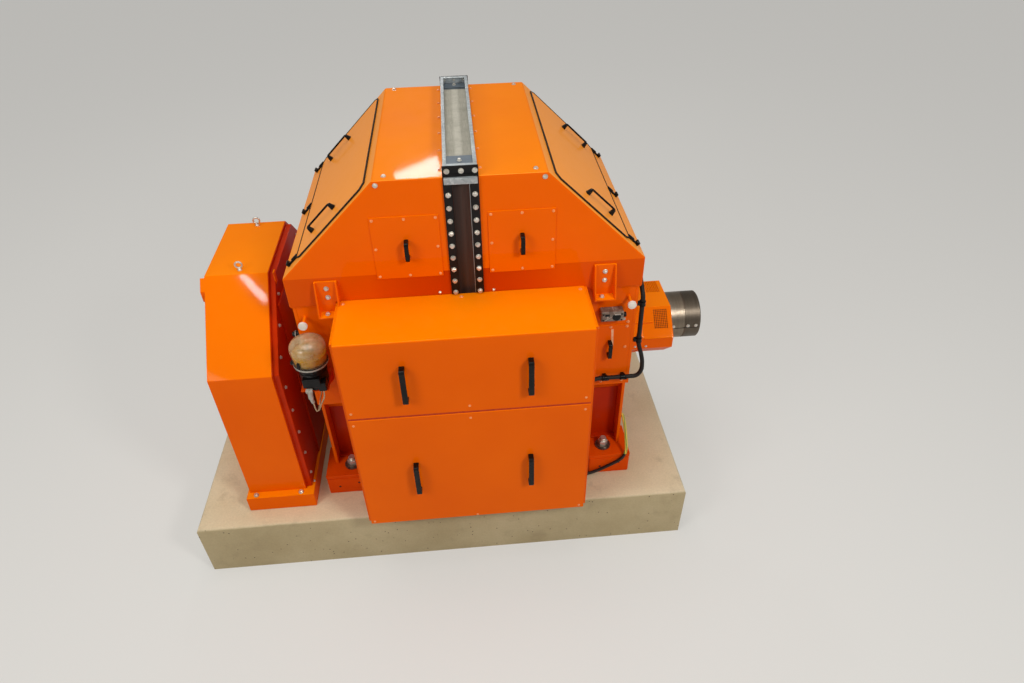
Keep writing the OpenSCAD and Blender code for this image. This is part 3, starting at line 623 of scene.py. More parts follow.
galvanised = Finish("hot_dip_zinc", Metallic=0.6)
spangle = galvanised.node("TexVoronoi", {}, {"Vector": galvanised.place, "Scale": 95.0}, "Color")
flake = galvanised.node("SeparateXYZ", {}, {"Vector": spangle}, 0)
weathered = galvanised.ramp(galvanised.grain(9, 5, 0.65), 0.35, 0.7)
coat = galvanised.blend(flake, paint(166, 174, 178), paint(208, 213, 214))
coat = galvanised.blend(weathered * 0.45, coat, paint(128, 136, 138))
galvanised.wire(Base_Color=coat, Roughness=0.36 + flake * 0.16 + weathered * 0.12)
galvanised.bump(flake * 0.5 + weathered, 0.12, 0.0006)

bar_low, bar_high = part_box("joint_bar")
bar_x = bar_high[0] + 0.004
bm = bmesh.new()
for sy in (-1, 1):
    block(bm, (-bar_x, hood_y, bar_low[2]), (bar_x, bar_high[1], bar_high[2]), 0.0025, 2, side=(1, sy))
# a thin bright strip on the channel's right wing: a painted highlight along its edge
block(bm, (flange_x0 - 0.0035, -hood_y - 0.002, flange_foot),
    (flange_x0 - 0.0010, -hood_y + 0.004, flange_high[2] - 0.002))
piece("joint_bar_steel", bm, galvanised, ["joint_bar"])


# Roof frame
# Galvanised frame of thin angle that caps the slot along the roof, with two
# cross plates, black end plates and a pale sealing strip lying inside it.
rails_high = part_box("top_frame")[1]
rail_x, rail_y, rail_top = rails_high
angle_t, cap_w, end_cap_w, end_plate_in = 0.005, 0.017, 0.022, 0.004
inside_x = rail_x - angle_t
bm = bmesh.new()
for sx in (-1, 1):
    block(bm, (inside_x, -rail_y, hood_top), (rail_x, rail_y, rail_top - 0.001), 0.0012, 1, side=(sx, 1))
    block(bm, (rail_x - cap_w, -rail_y, rail_top - angle_t), rails_high, 0.0018, 2, side=(sx, 1))
for sy in (-1, 1):
    block(bm, (-rail_x + 0.01, rail_y - end_cap_w, rail_top - 0.006),
        (rail_x - 0.01, rail_y, rail_top - 0.001),
        0.001, 1, side=(1, sy))
    block(bm, (-inside_x, rail_y - end_plate_in, hood_top + 0.001), (inside_x, rail_y, rail_top - 0.006),
        0.001, 1, side=(1, sy))
piece("roof_frame", bm, galvanised, ["top_frame"])

# the cross plates, coloured a darker blue-grey than the frame; the front one lies higher than the rear one
dark_grey_steel = Finish("dark_grey_steel", Metallic=0.5)
fingered = dark_grey_steel.ramp(dark_grey_steel.grain(12, 5, 0.65), 0.35, 0.7)
dark_grey_steel.wire(Base_Color=dark_grey_steel.blend(fingered, paint(92, 104, 116), paint(118, 130, 140)),
    Roughness=0.42 + fingered * 0.16)
dark_grey_steel.bump(fingered, 0.12, 0.0006)
cross_plates = ((-1, hood_top + 0.043, 0.108), (1, hood_top + 0.0145, 0.070))
cross_y = rail_y - 0.008
bm = bmesh.new()
for sy, shelf, shelf_depth in cross_plates:
    far = cross_y - shelf_depth
    block(bm, (-inside_x, far, shelf - 0.005), (inside_x, cross_y, shelf), 0.0012, 1, side=(1, sy))
    block(bm, (-inside_x, far, hood_top + 0.001), (inside_x, far + 0.004, shelf - 0.0005), 0.001, 1,
        side=(1, sy))
piece("roof_frame_plates", bm, dark_grey_steel)

ends_low, ends_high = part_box("top_frame_ends")
bm = bmesh.new()
for sy in (-1, 1):
    block(bm, (ends_low[0], ends_high[1] - 0.005, ends_low[2]), ends_high, 0.0014, 2, side=(1, sy))
piece("roof_frame_ends", bm, black, ["top_frame_ends"])

felt = Finish("sealing_strip", Roughness=0.9)
fibres = felt.ramp(felt.grain(1.0, 4, 0.65, felt.stretched((240, 14, 240))), 0.3, 0.7)
dirt = felt.ramp(felt.grain(11, 5, 0.7), 0.45, 0.7)
strip = felt.blend(fibres, paint(164, 160, 146), paint(190, 186, 172))
middle = felt.ramp(felt.along(0) * felt.along(0), 0.0005, 0.0001)
strip = felt.blend(middle * 0.6, strip, paint(208, 204, 190))
felt.wire(Base_Color=felt.blend(dirt * 0.45, strip, paint(134, 130, 116)))
felt.bump(fibres, 0.3, 0.001)
bm = bmesh.new()
block(bm, (-inside_x + 0.001, -rail_y + 0.118, hood_top - 0.003),
    (inside_x - 0.001, rail_y - 0.08, hood_top + 0.004),
    0.001, 1)
piece("sealing_strip", bm, felt)

bm = bmesh.new()
for sy, shelf, shelf_depth in cross_plates:
    for x in (-0.059, 0.004, 0.064):
        place = stand((x, sy * hood_y, hood_top + 0.026), (0, sy, 0))
        screw(bm, place, (0.0125, 0.0025), (0.020, 0.009, 0.16), x * 30)
    screw(bm, stand((0, sy * (cross_y - shelf_depth / 2), shelf)), (0.0105, 0.002), (0.017, 0.008, 0.16))
    for sx in (-1, 1):
        for dy in (0.02, 0.20):
            hexagon(bm, stand((sx * inside_x, sy * dy, hood_top + 0.024), (-sx, 0, 0)), 0.013, 0.006)
for x in (-0.052, 0, 0.052):
    hexagon(bm, stand((x, rail_y - end_plate_in, hood_top + 0.030), (0, -1, 0)), 0.014, 0.006)
piece("roof_frame_screws", bm, zinc)


# Slope covers
# Lift-off sheet covers on the two slopes of the hood: shallow orange trays
# with cut corners, edged all round with black rubber profile.
slope_run, slope_drop = hood_x - top_x, hood_top - fold_z
slope_length = math.hypot(slope_run, slope_drop)
slope_angle = math.atan2(slope_drop, slope_run)


def on_slope(side):
    """The place of one slope: X runs down it from the roof fold, Z stands out of it."""
    place = Matrix.Translation((top_x, 0, hood_top)) @ Matrix.Rotation(slope_angle, 4, "Y")
    return place if side > 0 else Matrix.Scale(-1, 4, (1, 0, 0)) @ place


def cut_corners(x0, x1, y, cut):
    """The outline of a sheet from x0 to x1 and from -y to y with its corners cut off."""
    return [(x0 + cut, -y), (x1 - cut, -y), (x1, cut - y), (x1, y - cut), (x1 - cut, y), (x0 + cut, y),
        (x0, y - cut), (x0, cut - y)]


rubber = two_tone("black_rubber", (40, 4, 0.6), (0.4, 0.8), ((14, 12, 11), (36, 31, 27)), (0.55, 0.25),
    Specular_IOR_Level=0.35)
rubber.bump(rubber.grain(300, 3, 0.6), 0.2, 0.0006)
cover_x0, cover_x1, cover_y, cover_t = 0.054, slope_length - 0.106, 0.555, 0.006
edging, corner, proud = 0.005, 0.026, 0.0025
for side, name in ((-1, "left"), (1, "right")):
    bm = bmesh.new()
    tray = prism(bm, cut_corners(cover_x0 + edging, cover_x1 - edging, cover_y - edging, corner), 2, 0,
        cover_t)
    soften(bm, tray, 0.002, 2)
    bmesh.ops.transform(bm, matrix=on_slope(side), verts=bm.verts[:])
    piece("slope_cover_" + name, bm, orange, ["slope_covers"] if side < 0 else ())

    # the edging is a slab whose middle is inset and opened, and its two rims bridged
    bm = bmesh.new()
    prism(bm, cut_corners(cover_x0, cover_x1, cover_y, corner + edging / 2), 2, 0, cover_t + proud)
    caps = [f for f in bm.faces if abs(f.normal.z) > 0.9]
    bmesh.ops.inset_region(bm, faces=caps, thickness=edging + 0.001, use_even_offset=True)
    inner = sorted(caps, key=lambda f: f.calc_center_median().z)
    rings = [e for f in inner for e in f.edges]
    bmesh.ops.delete(bm, geom=inner, context="FACES_ONLY")
    bmesh.ops.bridge_loops(bm, edges=rings)
    soften(bm, bm.verts[:], 0.0014, 2)
    bmesh.ops.transform(bm, matrix=on_slope(side), verts=bm.verts[:])
    piece("slope_edging_" + name, bm, rubber, ["slope_edgings"] if side < 0 else (), sharp=50)

# black toggle clips that hook over the lower edge of each cover
plastic = two_tone("black_nylon", (26, 4, 0.65), (0.45, 0.8), ((11, 11, 11), (28, 26, 24)), (0.24, 0.18),
    Specular_IOR_Level=0.2)
plastic.bump(plastic.grain(700, 2, 0.5), 0.2, 0.0004)
clip_x = cover_x1 + 0.0005
bm = bmesh.new()
for side in (-1, 1):
    for y in (-0.514, 0, 0.514):
        clip = bmesh.new()
        block(clip, (clip_x, y - 0.008, 0), (clip_x + 0.060, y + 0.008, 0.010), 0.0025, 2)
        block(clip, (clip_x - 0.009, y - 0.006, cover_t + proud), (clip_x + 0.030, y + 0.006, 0.015), 0.002,
            2)
        block(clip, (clip_x + 0.052, y - 0.018, 0), (clip_x + 0.065, y + 0.018, 0.021), 0.004, 2)
        add(bm, clip, on_slope(side))
piece("slope_cover_toggles", bm, plastic, ["slope_cover_clips"], sharp=40)


# Slope handles
# Bent round-bar pull handles on the slope covers: thin black bar with thick
# moulded end pads, each screwed down from inside.
def swept(bm, curve, place=Matrix()):
    """Gives a curve its round section as a mesh, in place, and removes the curve."""
    curve.dimensions = "3D"
    curve.use_fill_caps = True
    holder = bpy.data.objects.new("swept", curve)
    shape = bpy.data.meshes.new_from_object(holder)
    shape.transform(place)
    bm.from_mesh(shape)
    bpy.data.objects.remove(holder)
    bpy.data.curves.remove(curve)
    bpy.data.meshes.remove(shape)
    bmesh.ops.remove_doubles(bm, verts=bm.verts[:], dist=0.00002)


def bar_along(bm, points, radius, place, bend=0.010):
    """A round bar bent along a few points, with rounded bends."""
    points = [Vector(point) for point in points]
    spots = [points[0]]
    for before, here, after in zip(points, points[1:], points[2:]):
        back, on = before - here, after - here
        reach = min(bend, back.length * 0.45, on.length * 0.45)
        first, last = here + back.normalized() * reach, here + on.normalized() * reach
        for k in range(6):
            t = k / 5
            spots.append(first.lerp(here, t).lerp(here.lerp(last, t), t))
    spots.append(points[-1])
    curve = bpy.data.curves.new("bar", "CURVE")
    curve.bevel_depth = radius
    curve.bevel_resolution = 3
    line = curve.splines.new("POLY")
    line.points.add(len(spots) - 1)
    for point, spot in zip(line.points, spots):
        point.co = (*spot, 1)
    swept(bm, curve, place)


half_pull, pull_rise, pull_r, pad_h = 0.095, 0.030, 0.0050, 0.031
pad_in_low, pad_in_high = 0.012, 0.014
bm = bmesh.new()
for side in (-1, 1):
    for y in (-0.425, 0.385):
        seat = on_slope(side) @ Matrix.Translation((slope_length * 0.555, y, cover_t))
        bar_along(bm, [(-half_pull + 0.009, 0, 0.012), (-half_pull + 0.012, 0, pull_rise),
            (half_pull - 0.012, 0, pull_rise), (half_pull - 0.009, 0, 0.012)], pull_r, seat)
        for s in (-1, 1):
            pad = bmesh.new()
            cushion = block(pad, (-0.012, -0.0105, 0.0), (0.012, 0.0105, pad_h))
            for v in cushion:
                upper = v.co.z > 0.02
                inward = pad_in_high if upper else pad_in_low
                v.co.x = v.co.x * (0.55 if upper else 1.0) + s * (half_pull - inward)
                v.co.y *= 0.75 if upper else 1.0
            soften(pad, cushion, 0.0035, 3)
            add(bm, pad, seat)
piece("slope_pulls", bm, plastic, ["slope_handles"], sharp=45)


# Inspection covers
# Flat sheet covers over the openings in the hood's front, each held by eight
# small painted screws and lifted by a moulded black bridge handle.
cover_low, cover_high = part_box("inspection_covers")
near_x, far_x, rim_in = 0.111, cover_high[0], 0.014
mid_z, half_z = (cover_low[2] + cover_high[2]) / 2, (cover_high[2] - cover_low[2]) / 2 - rim_in
mid_x, half_x = (near_x + far_x) / 2, (far_x - near_x) / 2 - rim_in
bm = bmesh.new()
screws = bmesh.new()
for sx in (-1, 1):
    block(bm, (near_x, cover_low[1], cover_low[2]), (far_x, cover_high[1], cover_high[2]), 0.0016, 2,
        side=(sx, 1))
    for dx in (-1, 0, 1):
        for dz in (-1, 0, 1):
            if dx or dz:
                place = stand((sx * mid_x + dx * half_x, cover_low[1], mid_z + dz * half_z), (0, -1, 0))
                screw(screws, place, (0.0072, 0.0015, 20), (0.0108, 0.005, 0.16), dx + 2.0 * dz, sunk=True)
piece("inspection_sheets", bm, orange, ["inspection_covers"])
piece("inspection_screws", screws, highlight_orange)


def bridge_handle(bm, centre, length, bar, out=0.045):
    """Moulded strap handle along Z, its grip out along -Y, with round shoulders over a foot at each end."""
    half, round_out, round_in, thick, foot = length / 2, 0.015, 0.006, 0.0115, 0.017
    arc = [(math.sin(math.radians(a)), math.cos(math.radians(a))) for a in range(0, 91, 15)]
    outer = [(-out + round_out * (1 - s), -half + round_out * (1 - c)) for s, c in arc]
    inner = [(-out + thick + round_in * (1 - s), -half + foot + round_in * (1 - c)) for s, c in arc]
    outline = [(0, -half)] + outer + [(y, -z) for y, z in reversed(outer)] + [(0, half), (0, half - foot)]
    outline += [(y, -z) for y, z in inner] + list(reversed(inner)) + [(0, -half + foot)]
    made = bmesh.new()
    strap = prism(made, outline, 0, -bar / 2, bar)
    bmesh.ops.recalc_face_normals(made, faces=made.faces)
    soften(made, strap, 0.0022, 2, lambda e: abs(e.verts[0].co.x - e.verts[1].co.x) < 0.001)
    add(bm, made, Matrix.Translation(centre))


bm = bmesh.new()
for x, y, z in ((-0.268, cover_low[1], mid_z - 0.005), (0.268, cover_low[1], mid_z - 0.005),
        (0.730, -panel_y - 0.005, 1.342)):
    bridge_handle(bm, (x, y, z), 0.100, 0.020)
piece("small_pulls", bm, plastic, ["small_handles"], sharp=45)


# Hood brackets
# Pressed brackets that bolt the hood to the frame: a back plate between two
# tapered webs, with a ledge at the bottom and three bright screws.
def dressed(node, radius, segments=2):
    """A copy of a frame solid, merged into whole faces, with its edges rounded."""
    made = bmesh.new()
    made.from_mesh(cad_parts[node].data)
    bmesh.ops.remove_doubles(made, verts=made.verts[:], dist=0.00002)
    bmesh.ops.dissolve_limit(made, angle_limit=math.radians(0.6), use_dissolve_boundaries=False,
        verts=made.verts[:], edges=made.edges[:])
    soften(made, made.verts[:], radius, segments)
    return made


bracket_low, bracket_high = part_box("hood_brackets")
piece("hood_bracket_plates", dressed("hood_brackets", 0.0015), orange, ["hood_brackets"])
bracket_t = 0.008
bracket_washer, bracket_head = (0.0120, 0.0025, 28), (0.0190, 0.009, 0.16)
screws = bmesh.new()
for sx in (-1, 1):
    middle_x = sx * (bracket_high[0] - 0.054)
    for z in (1.842, 1.792):
        screw(screws, stand((middle_x, -hood_y - bracket_t, z), (0, -1, 0)), bracket_washer, bracket_head,
            z * 40)
    screw(screws, stand((middle_x - 0.012, -hood_y - 0.034, bracket_low[2] + bracket_t)), bracket_washer,
        bracket_head)
piece("hood_bracket_screws", screws, zinc)


# Terminal box
# Deep sheet-steel terminal box on the front of the frame. The carcass is welded;
# the upper cover folds back over the top, the lower one is a flat tray.
box_low, box_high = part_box("terminal_box")
upper_low, upper_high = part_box("terminal_cover_upper")
lower_low, lower_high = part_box("terminal_cover_lower")
carcass_front, cover_front = box_low[1], upper_low[1]
sheet, lip_w, lip_front, lip_back = 0.006, 0.030, carcass_front - 0.0004, carcass_front + 0.004
side_in = (box_low[0] + sheet, box_high[0] - sheet)
bm = bmesh.new()
block(bm, (box_low[0], carcass_front, box_low[2]), (side_in[0], -hood_y, box_high[2]), 0.0022, 2)
block(bm, (side_in[1], carcass_front, box_low[2]), (box_high[0], -hood_y, box_high[2]), 0.0022, 2)
block(bm, (side_in[0], carcass_front, box_high[2] - sheet), (side_in[1], -hood_y, box_high[2]), 0.0015, 1)
block(bm, (side_in[0], carcass_front, box_low[2]), (side_in[1], -hood_y, box_low[2] + sheet), 0.0015, 1)
block(bm, (side_in[0], -hood_y - sheet, box_low[2] + sheet), (side_in[1], -hood_y, box_high[2] - sheet))
# the neck that joins the box to the frame's panel
block(bm, (box_low[0] + 0.020, -hood_y - sheet, skirt_z + 0.010),
    (box_high[0] - 0.020, -panel_y, hood_z - 0.005), 0.001, 1)
# turned-in lips along the carcass mouth, on which the covers seat
for x0, x1, z0, z1 in ((box_low[0], box_low[0] + lip_w, box_low[2], box_high[2]),
        (box_high[0] - lip_w, box_high[0], box_low[2], box_high[2]),
        (box_low[0] + lip_w, box_high[0] - lip_w, 1.270, 1.322)):
    block(bm, (x0, lip_front, z0), (x1, lip_back, z1), 0.001, 1)
piece("terminal_carcass", bm, orange, ["terminal_box"])

cover_sheet, bend = 0.005, 0.009
bm = bmesh.new()
prism(bm, [(cover_front, upper_low[2]), (carcass_front, upper_low[2]),
    (carcass_front, upper_high[2] - cover_sheet),
    (-hood_y - 0.0005, upper_high[2] - cover_sheet), (-hood_y - 0.0005, upper_high[2]),
    (cover_front, upper_high[2])],
    0, upper_low[0], upper_high[0] - upper_low[0])
fold = [e for e in bm.edges if all(abs(v.co.y - cover_front) < 1e-4 and abs(v.co.z - upper_high[2]) < 1e-4
    for v in e.verts)]
bevelled(bm, fold, bend, 5)
soften(bm, bm.verts[:], 0.0028, 2)
piece("terminal_cover_top", bm, orange, ["terminal_cover_upper"], sharp=30)
bm = bmesh.new()
block(bm, (lower_low[0], cover_front, lower_low[2]), (lower_high[0], carcass_front, lower_high[2] - 0.004),
    0.0035, 3)
piece("terminal_cover_bottom", bm, orange, ["terminal_cover_lower"], sharp=30)

# the split between the covers is a groove; a dark orange strip set in it is painted shade
groove_shade = two_tone("painted_groove_shade", (50, 4, 0.6), (0.35, 0.7), ((176, 44, 2), (204, 62, 4)), Roughness=0.9)
bm = bmesh.new()
block(bm, (upper_low[0] + 0.001, cover_front + 0.0035, lower_high[2] - 0.004),
    (upper_high[0] - 0.001, carcass_front, upper_low[2]))
piece("groove_shade_strip", bm, groove_shade, weighted=False)

split = (lower_high[2] + upper_low[2]) / 2
spots = [(x, split + dz) for x in (-0.605, -0.030, 0.545) for dz in (0.041, -0.041)]
spots += [(-0.605, lower_low[2] + 0.022), (-0.030, lower_low[2] + 0.012), (0.545, lower_low[2] + 0.022)]
bm = bmesh.new()
for x, z in spots:
    place = stand((x, cover_front, z), (0, -1, 0))
    disc(bm, place, 0.0070, 0.0012)
    disc(bm, raised(place, 0.0012), 0.0052, 0.0030, 20, 0.0016)
for x in (-0.605, -0.034, 0.550):
    place = stand((x, -hood_y - 0.030, upper_high[2]))
    disc(bm, place, 0.0095, 0.0012)
    disc(bm, raised(place, 0.0012), 0.0068, 0.0036, 20, 0.0018)
piece("terminal_cover_screws", bm, highlight_orange)

grip_low, grip_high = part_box("terminal_handles")
grip_length = 0.210
bm = bmesh.new()
for x in (-0.3298, 0.2697):
    for z in (grip_high[2] - grip_length / 2, grip_low[2] + grip_length / 2):
        bridge_handle(bm, (x, cover_front, z), grip_length, 0.027)
piece("terminal_pulls", bm, plastic, ["terminal_handles"], sharp=45)

# nylon glands in the bottom sheet, open and ready for use
gland_low, gland_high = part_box("cable_glands")
gland_y, gland_pitch, gland_r = -0.870, 0.076, 0.025
z0, z1 = gland_low[2], gland_high[2]
steps = [(0, z0), (0.004, z0), (0.007, z0 + 0.004), (0.007, z0 + 0.012), (0.010, z0 + 0.013),
    (0.010, z0 + 0.022),
    (0.0115, z0 + 0.0225), (0.0115, z0 + 0.0275), (0.007, z0 + 0.028), (0.007, z1), (0, z1), (0, z0)]
bm = bmesh.new()
for group in (-0.324918, 0.433976):
    for step in (-1, 0, 1):
        turned(bm, [(gland_r + out, z) for out, z in steps], "Z", (group + step * gland_pitch, gland_y, 0),
            24)
piece("nylon_glands", bm, plastic, ["cable_glands"], sharp=40)


# Driven-end panel
# Screwed access cover in the frame beside the terminal box, with a grey sensor
# box above it, a pale strip of tape, and white vent caps at both ends.
access_low, access_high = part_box("frame_access_cover")
rim_in = 0.012
right_x, low_z, high_z = access_high[0] - rim_in, access_low[2] + rim_in, access_high[2] - rim_in
bm = bmesh.new()
block(bm, access_low, access_high, 0.0016, 2)
piece("access_sheet", bm, orange, ["frame_access_cover"])
access_washer, access_head = (0.0085, 0.0015, 20), (0.0125, 0.006, 0.16)
bm = bmesh.new()
for x, y, z in ((right_x, access_low[1], 1.342), (right_x, access_low[1], low_z),
        (right_x, access_low[1], high_z),
        (access_low[0] + 0.060, access_low[1], high_z), (access_low[0] + 0.130, access_low[1], high_z),
        (access_low[0] + 0.100, access_low[1], low_z), (0.820, -panel_y, 1.505)):
    screw(bm, stand((x, y, z), (0, -1, 0)), access_washer, access_head, sunk=True)
piece("access_screws", bm, highlight_orange)
tape = two_tone("pale_tape", (45, 3, 0.6), (0.35, 0.7), ((238, 160, 104), (244, 200, 164)), Roughness=0.4)
tape_t = 0.0008
bm = bmesh.new()
prism(bm, [(0.734, 1.465), (0.740, 1.351), (0.752, 1.351), (0.746, 1.465)], 1, access_low[1] - tape_t, tape_t)
piece("tape_strip", bm, tape, weighted=False)

smoked = Finish("smoked_lid")
scuffed = smoked.ramp(smoked.grain(26, 5, 0.7), 0.42, 0.7)
glints = smoked.ramp(smoked.grain(1.0, 3, 0.5, smoked.stretched((60, 8, 16))), 0.60, 0.68)
lid_colour = smoked.blend(scuffed, paint(104, 92, 80), paint(150, 138, 124))
smoked.wire(Base_Color=smoked.blend(glints * 0.6, lid_colour, paint(208, 196, 180)),
    Roughness=0.16 + scuffed * 0.2)
nylon = two_tone("grey_nylon", (60, 3, 0.6), (0.4, 0.7), ((176, 172, 162), (142, 137, 126)), Roughness=0.5)
junction_low, junction_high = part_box("junction_box")
left_x, lid_y, foot_z = junction_low[0], junction_low[1] - 0.003, junction_low[2]
lid_in = 0.006
bm = bmesh.new()
block(bm, junction_low, junction_high, 0.006, 3)
block(bm, (left_x + lid_in, lid_y, foot_z + lid_in),
    (junction_high[0] - lid_in, junction_low[1] + 0.004, junction_high[2] - lid_in), 0.003, 2)
piece("sensor_box", bm, smoked, ["junction_box"])
bm = bmesh.new()
for dx in (0.012, 0.106):
    for dz in (0.012, 0.048):
        disc(bm, stand((left_x + dx, lid_y, foot_z + dz), (0, -1, 0)), 0.0048, 0.0016, 18, 0.0008)
disc(bm, stand((left_x + 0.080, lid_y, foot_z + 0.029), (0, -1, 0)), 0.0215, 0.0018, 40, 0.0008)
block(bm, (left_x + 0.020, lid_y - 0.001, foot_z + 0.036), (left_x + 0.044, lid_y, foot_z + 0.050))
rod(bm, (junction_high[0], junction_low[1] + 0.022, foot_z + 0.026),
    (junction_high[0] + 0.016, junction_low[1] + 0.022, foot_z + 0.026), 0.0135, 20, 0.002)
piece("sensor_box_trim", bm, plastic)
bm = bmesh.new()
block(bm, (left_x + 0.068, lid_y - 0.0028, junction_high[2] - 0.016),
    (left_x + 0.100, lid_y, junction_high[2] - 0.009), 0.0005, 1)
slanted = Matrix.Translation((left_x + 0.038, lid_y, foot_z + 0.022)) @ Matrix.Rotation(math.radians(-35),
    4, "Y")
bmesh.ops.transform(bm, matrix=slanted, verts=block(bm, (-0.022, -0.0012, -0.0015), (0.022, 0, 0.0015)))
disc(bm, stand((junction_high[0] + 0.004, junction_low[1] + 0.008, foot_z + 0.010), (0, -1, 0)), 0.0075,
    0.004, 20)
piece("sensor_box_marks", bm, nylon)

white = two_tone("white_cap", (30, 4, 0.6), (0.4, 0.75), ((226, 224, 216), (206, 200, 184)), (0.3, 0.15))
cap_low, cap_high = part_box("sensor_caps")
cap_r, cap_y, cap_z = 0.022, cap_low[1] + 0.015, (cap_low[2] + cap_high[2]) / 2
bm = bmesh.new()
stubs = bmesh.new()
for sx in (-1, 1):
    x = sx * (cap_high[0] - cap_r)
    place = stand((x, cap_y, cap_z), (0, -1, 0))
    disc(bm, place, cap_r, 0.0135, 40, 0.004)
    disc(bm, raised(place, 0.010), 0.0150, 0.005, 32, 0.0016)
    rod(stubs, (x, cap_y + 0.001, cap_z), (x, -panel_y, cap_z), 0.008, 24, 0.001)
    rod(stubs, (x, -panel_y - 0.004, cap_z), (x, -panel_y, cap_z), 0.013, 24, 0.001)
piece("vent_caps", bm, white, ["sensor_caps"], sharp=40)
piece("vent_stubs", stubs, orange, sharp=40)


# Sensor loom
# Black jacketed bundle of sensor leads. It leaves the hood's end wall, drops
# past the frame's corner in nylon clips and turns in behind the terminal box.
def lead_along(bm, points, radius, round_steps=3):
    """A smooth round lead through the points of its route."""
    curve = bpy.data.curves.new("lead", "CURVE")
    curve.bevel_depth = radius
    curve.bevel_resolution = round_steps
    curve.resolution_u = 5
    line = curve.splines.new("BEZIER")
    line.bezier_points.add(len(points) - 1)
    for knot, spot in zip(line.bezier_points, points):
        knot.co = spot
        knot.handle_left_type = knot.handle_right_type = "AUTO"
    swept(bm, curve)


loom_route = [(0.868, -0.400, 1.800), (0.884, -0.400, 1.800), (0.893, -0.411, 1.789), (0.892, -0.435, 1.765),
    (0.887, -0.468, 1.737), (0.884, -0.505, 1.711), (0.885, -0.539, 1.683), (0.888, -0.560, 1.650),
    (0.888, -0.565, 1.610), (0.888, -0.568, 1.555), (0.888, -0.572, 1.490), (0.888, -0.575, 1.430),
    (0.888, -0.576, 1.369), (0.896, -0.580, 1.330), (0.910, -0.587, 1.280), (0.918, -0.595, 1.225),
    (0.912, -0.602, 1.175), (0.890, -0.606, 1.152), (0.850, -0.606, 1.148), (0.780, -0.606, 1.148),
    (0.730, -0.606, 1.148), (0.686, -0.606, 1.148), (0.646, -0.615, 1.148), (0.606, -0.620, 1.148),
    (0.5863, -0.620, 1.148)]
bm = bmesh.new()
lead_along(bm, loom_route, 0.012)
piece("sensor_loom", bm, rubber, ["loom_cable"], sharp=60, weighted=False)

bm = bmesh.new()
for spot, upright in (((0.888, -0.565, 1.610), True), ((0.888, -0.576, 1.380), True),
        ((0.815, -0.606, 1.148), False), ((0.715, -0.606, 1.148), False)):
    clip = bmesh.new()
    for start, radius, length, bevel in ((-0.010, 0.0155, 0.020, 0.002), (-0.013, 0.0175, 0.004, 0.0),
            (0.009, 0.0175, 0.004, 0.0)):
        disc(clip, stand((0, 0, start)), radius, length, 28, bevel)
    place = Matrix.Translation(spot)
    if upright:
        block(clip, (-0.028, -0.008, -0.010), (-0.006, 0.012, 0.010), 0.002, 2)
    else:
        block(clip, (-0.012, 0.006, -0.010), (0.012, 0.026, 0.010), 0.002, 2)
        block(clip, (-0.003, -0.022, -0.020), (0.003, 0.012, 0.020), 0.001, 1)
        place = stand(spot, (1, 0, 0))
    add(bm, clip, place)
piece("loom_clamps", bm, plastic, ["loom_clips"], sharp=40)


# Earth lead
# Green and yellow earthing cable from a lug on the end plate, sleeved in black
# where it runs over the foot and along the plinth to the terminal box.
earth = Finish("earth_insulation")
bare_of_sleeve = earth.ramp(earth.along(2), 0.545, 0.549)
stripe = earth.node("TexWave", {"wave_type": "BANDS", "bands_direction": "X"},
    {"Vector": earth.stretched((1, 1, 0.35)), "Scale": 22.0, "Distortion": 0.0})
jacket = earth.blend(earth.ramp(stripe, 0.26, 0.40), paint(96, 138, 52), paint(226, 198, 78))
earth.wire(Base_Color=earth.blend(bare_of_sleeve, paint(19, 18, 18), jacket),
    Roughness=0.42 + earth.grain(80, 3, 0.6) * 0.2)
lug = (face_x, -0.470, 0.720)
earth_route = [(0.860, -0.470, 0.720), (0.872, -0.470, 0.720), (0.884, -0.503, 0.690), (0.886, -0.545, 0.650),
    (0.886, -0.585, 0.602), (0.882, -0.619, 0.565), (0.870, -0.632, 0.533), (0.846, -0.632, 0.495),
    (0.810, -0.632, 0.468), (0.765, -0.632, 0.440), (0.710, -0.632, 0.410), (0.660, -0.635, 0.395),
    (0.610, -0.643, 0.390), (0.560, -0.658, 0.392), (0.525, -0.673, 0.407), (0.510, -0.681, 0.437),
    (0.508, -0.683, 0.462), (0.508, -0.683, 0.4767)]
bm = bmesh.new()
lead_along(bm, earth_route, 0.0095)
piece("earthing_lead", bm, earth, ["earth_lead"], sharp=60, weighted=False)
bm = bmesh.new()
screw(bm, stand(lug, (1, 0, 0)), (0.016, 0.004, 24, 0.001), (0.022, 0.006))
piece("earthing_lug", bm, zinc, sharp=40)


# Lubricator
# Grease pump for the bearings: a clear cup half full of amber grease over a
# black cast pump body, on a painted bracket, with grey plugs and thin tubes.
pump = Vector((-0.802, -0.690, 1.335))
cup_z = 0.153


def at_pump(x, y, z):
    """A point given from the middle of the pump's foot."""
    return pump + Vector((x, y, z))


clear = Finish("hazy_cup", IOR=1.5, Specular_IOR_Level=0.9)
haze = clear.ramp(clear.grain(24, 4, 0.6), 0.35, 0.8)
dome = clear.ramp(clear.along(2), 1.545, 1.580)
clear.wire(Base_Color=clear.blend(haze, paint(192, 162, 112), paint(228, 210, 176)),
    Roughness=0.03 + haze * 0.05,
    Alpha=0.10 + dome * 0.42 + haze * 0.12)
grease = Finish("amber_grease", Subsurface_Weight=0.15)
swirl = grease.ramp(grease.grain(34, 4, 0.6), 0.3, 0.75)
grease.wire(Base_Color=grease.blend(swirl, paint(168, 118, 0), paint(204, 152, 14)),
    Roughness=0.22 + swirl * 0.2)
grease.bump(swirl, 0.5, 0.003)

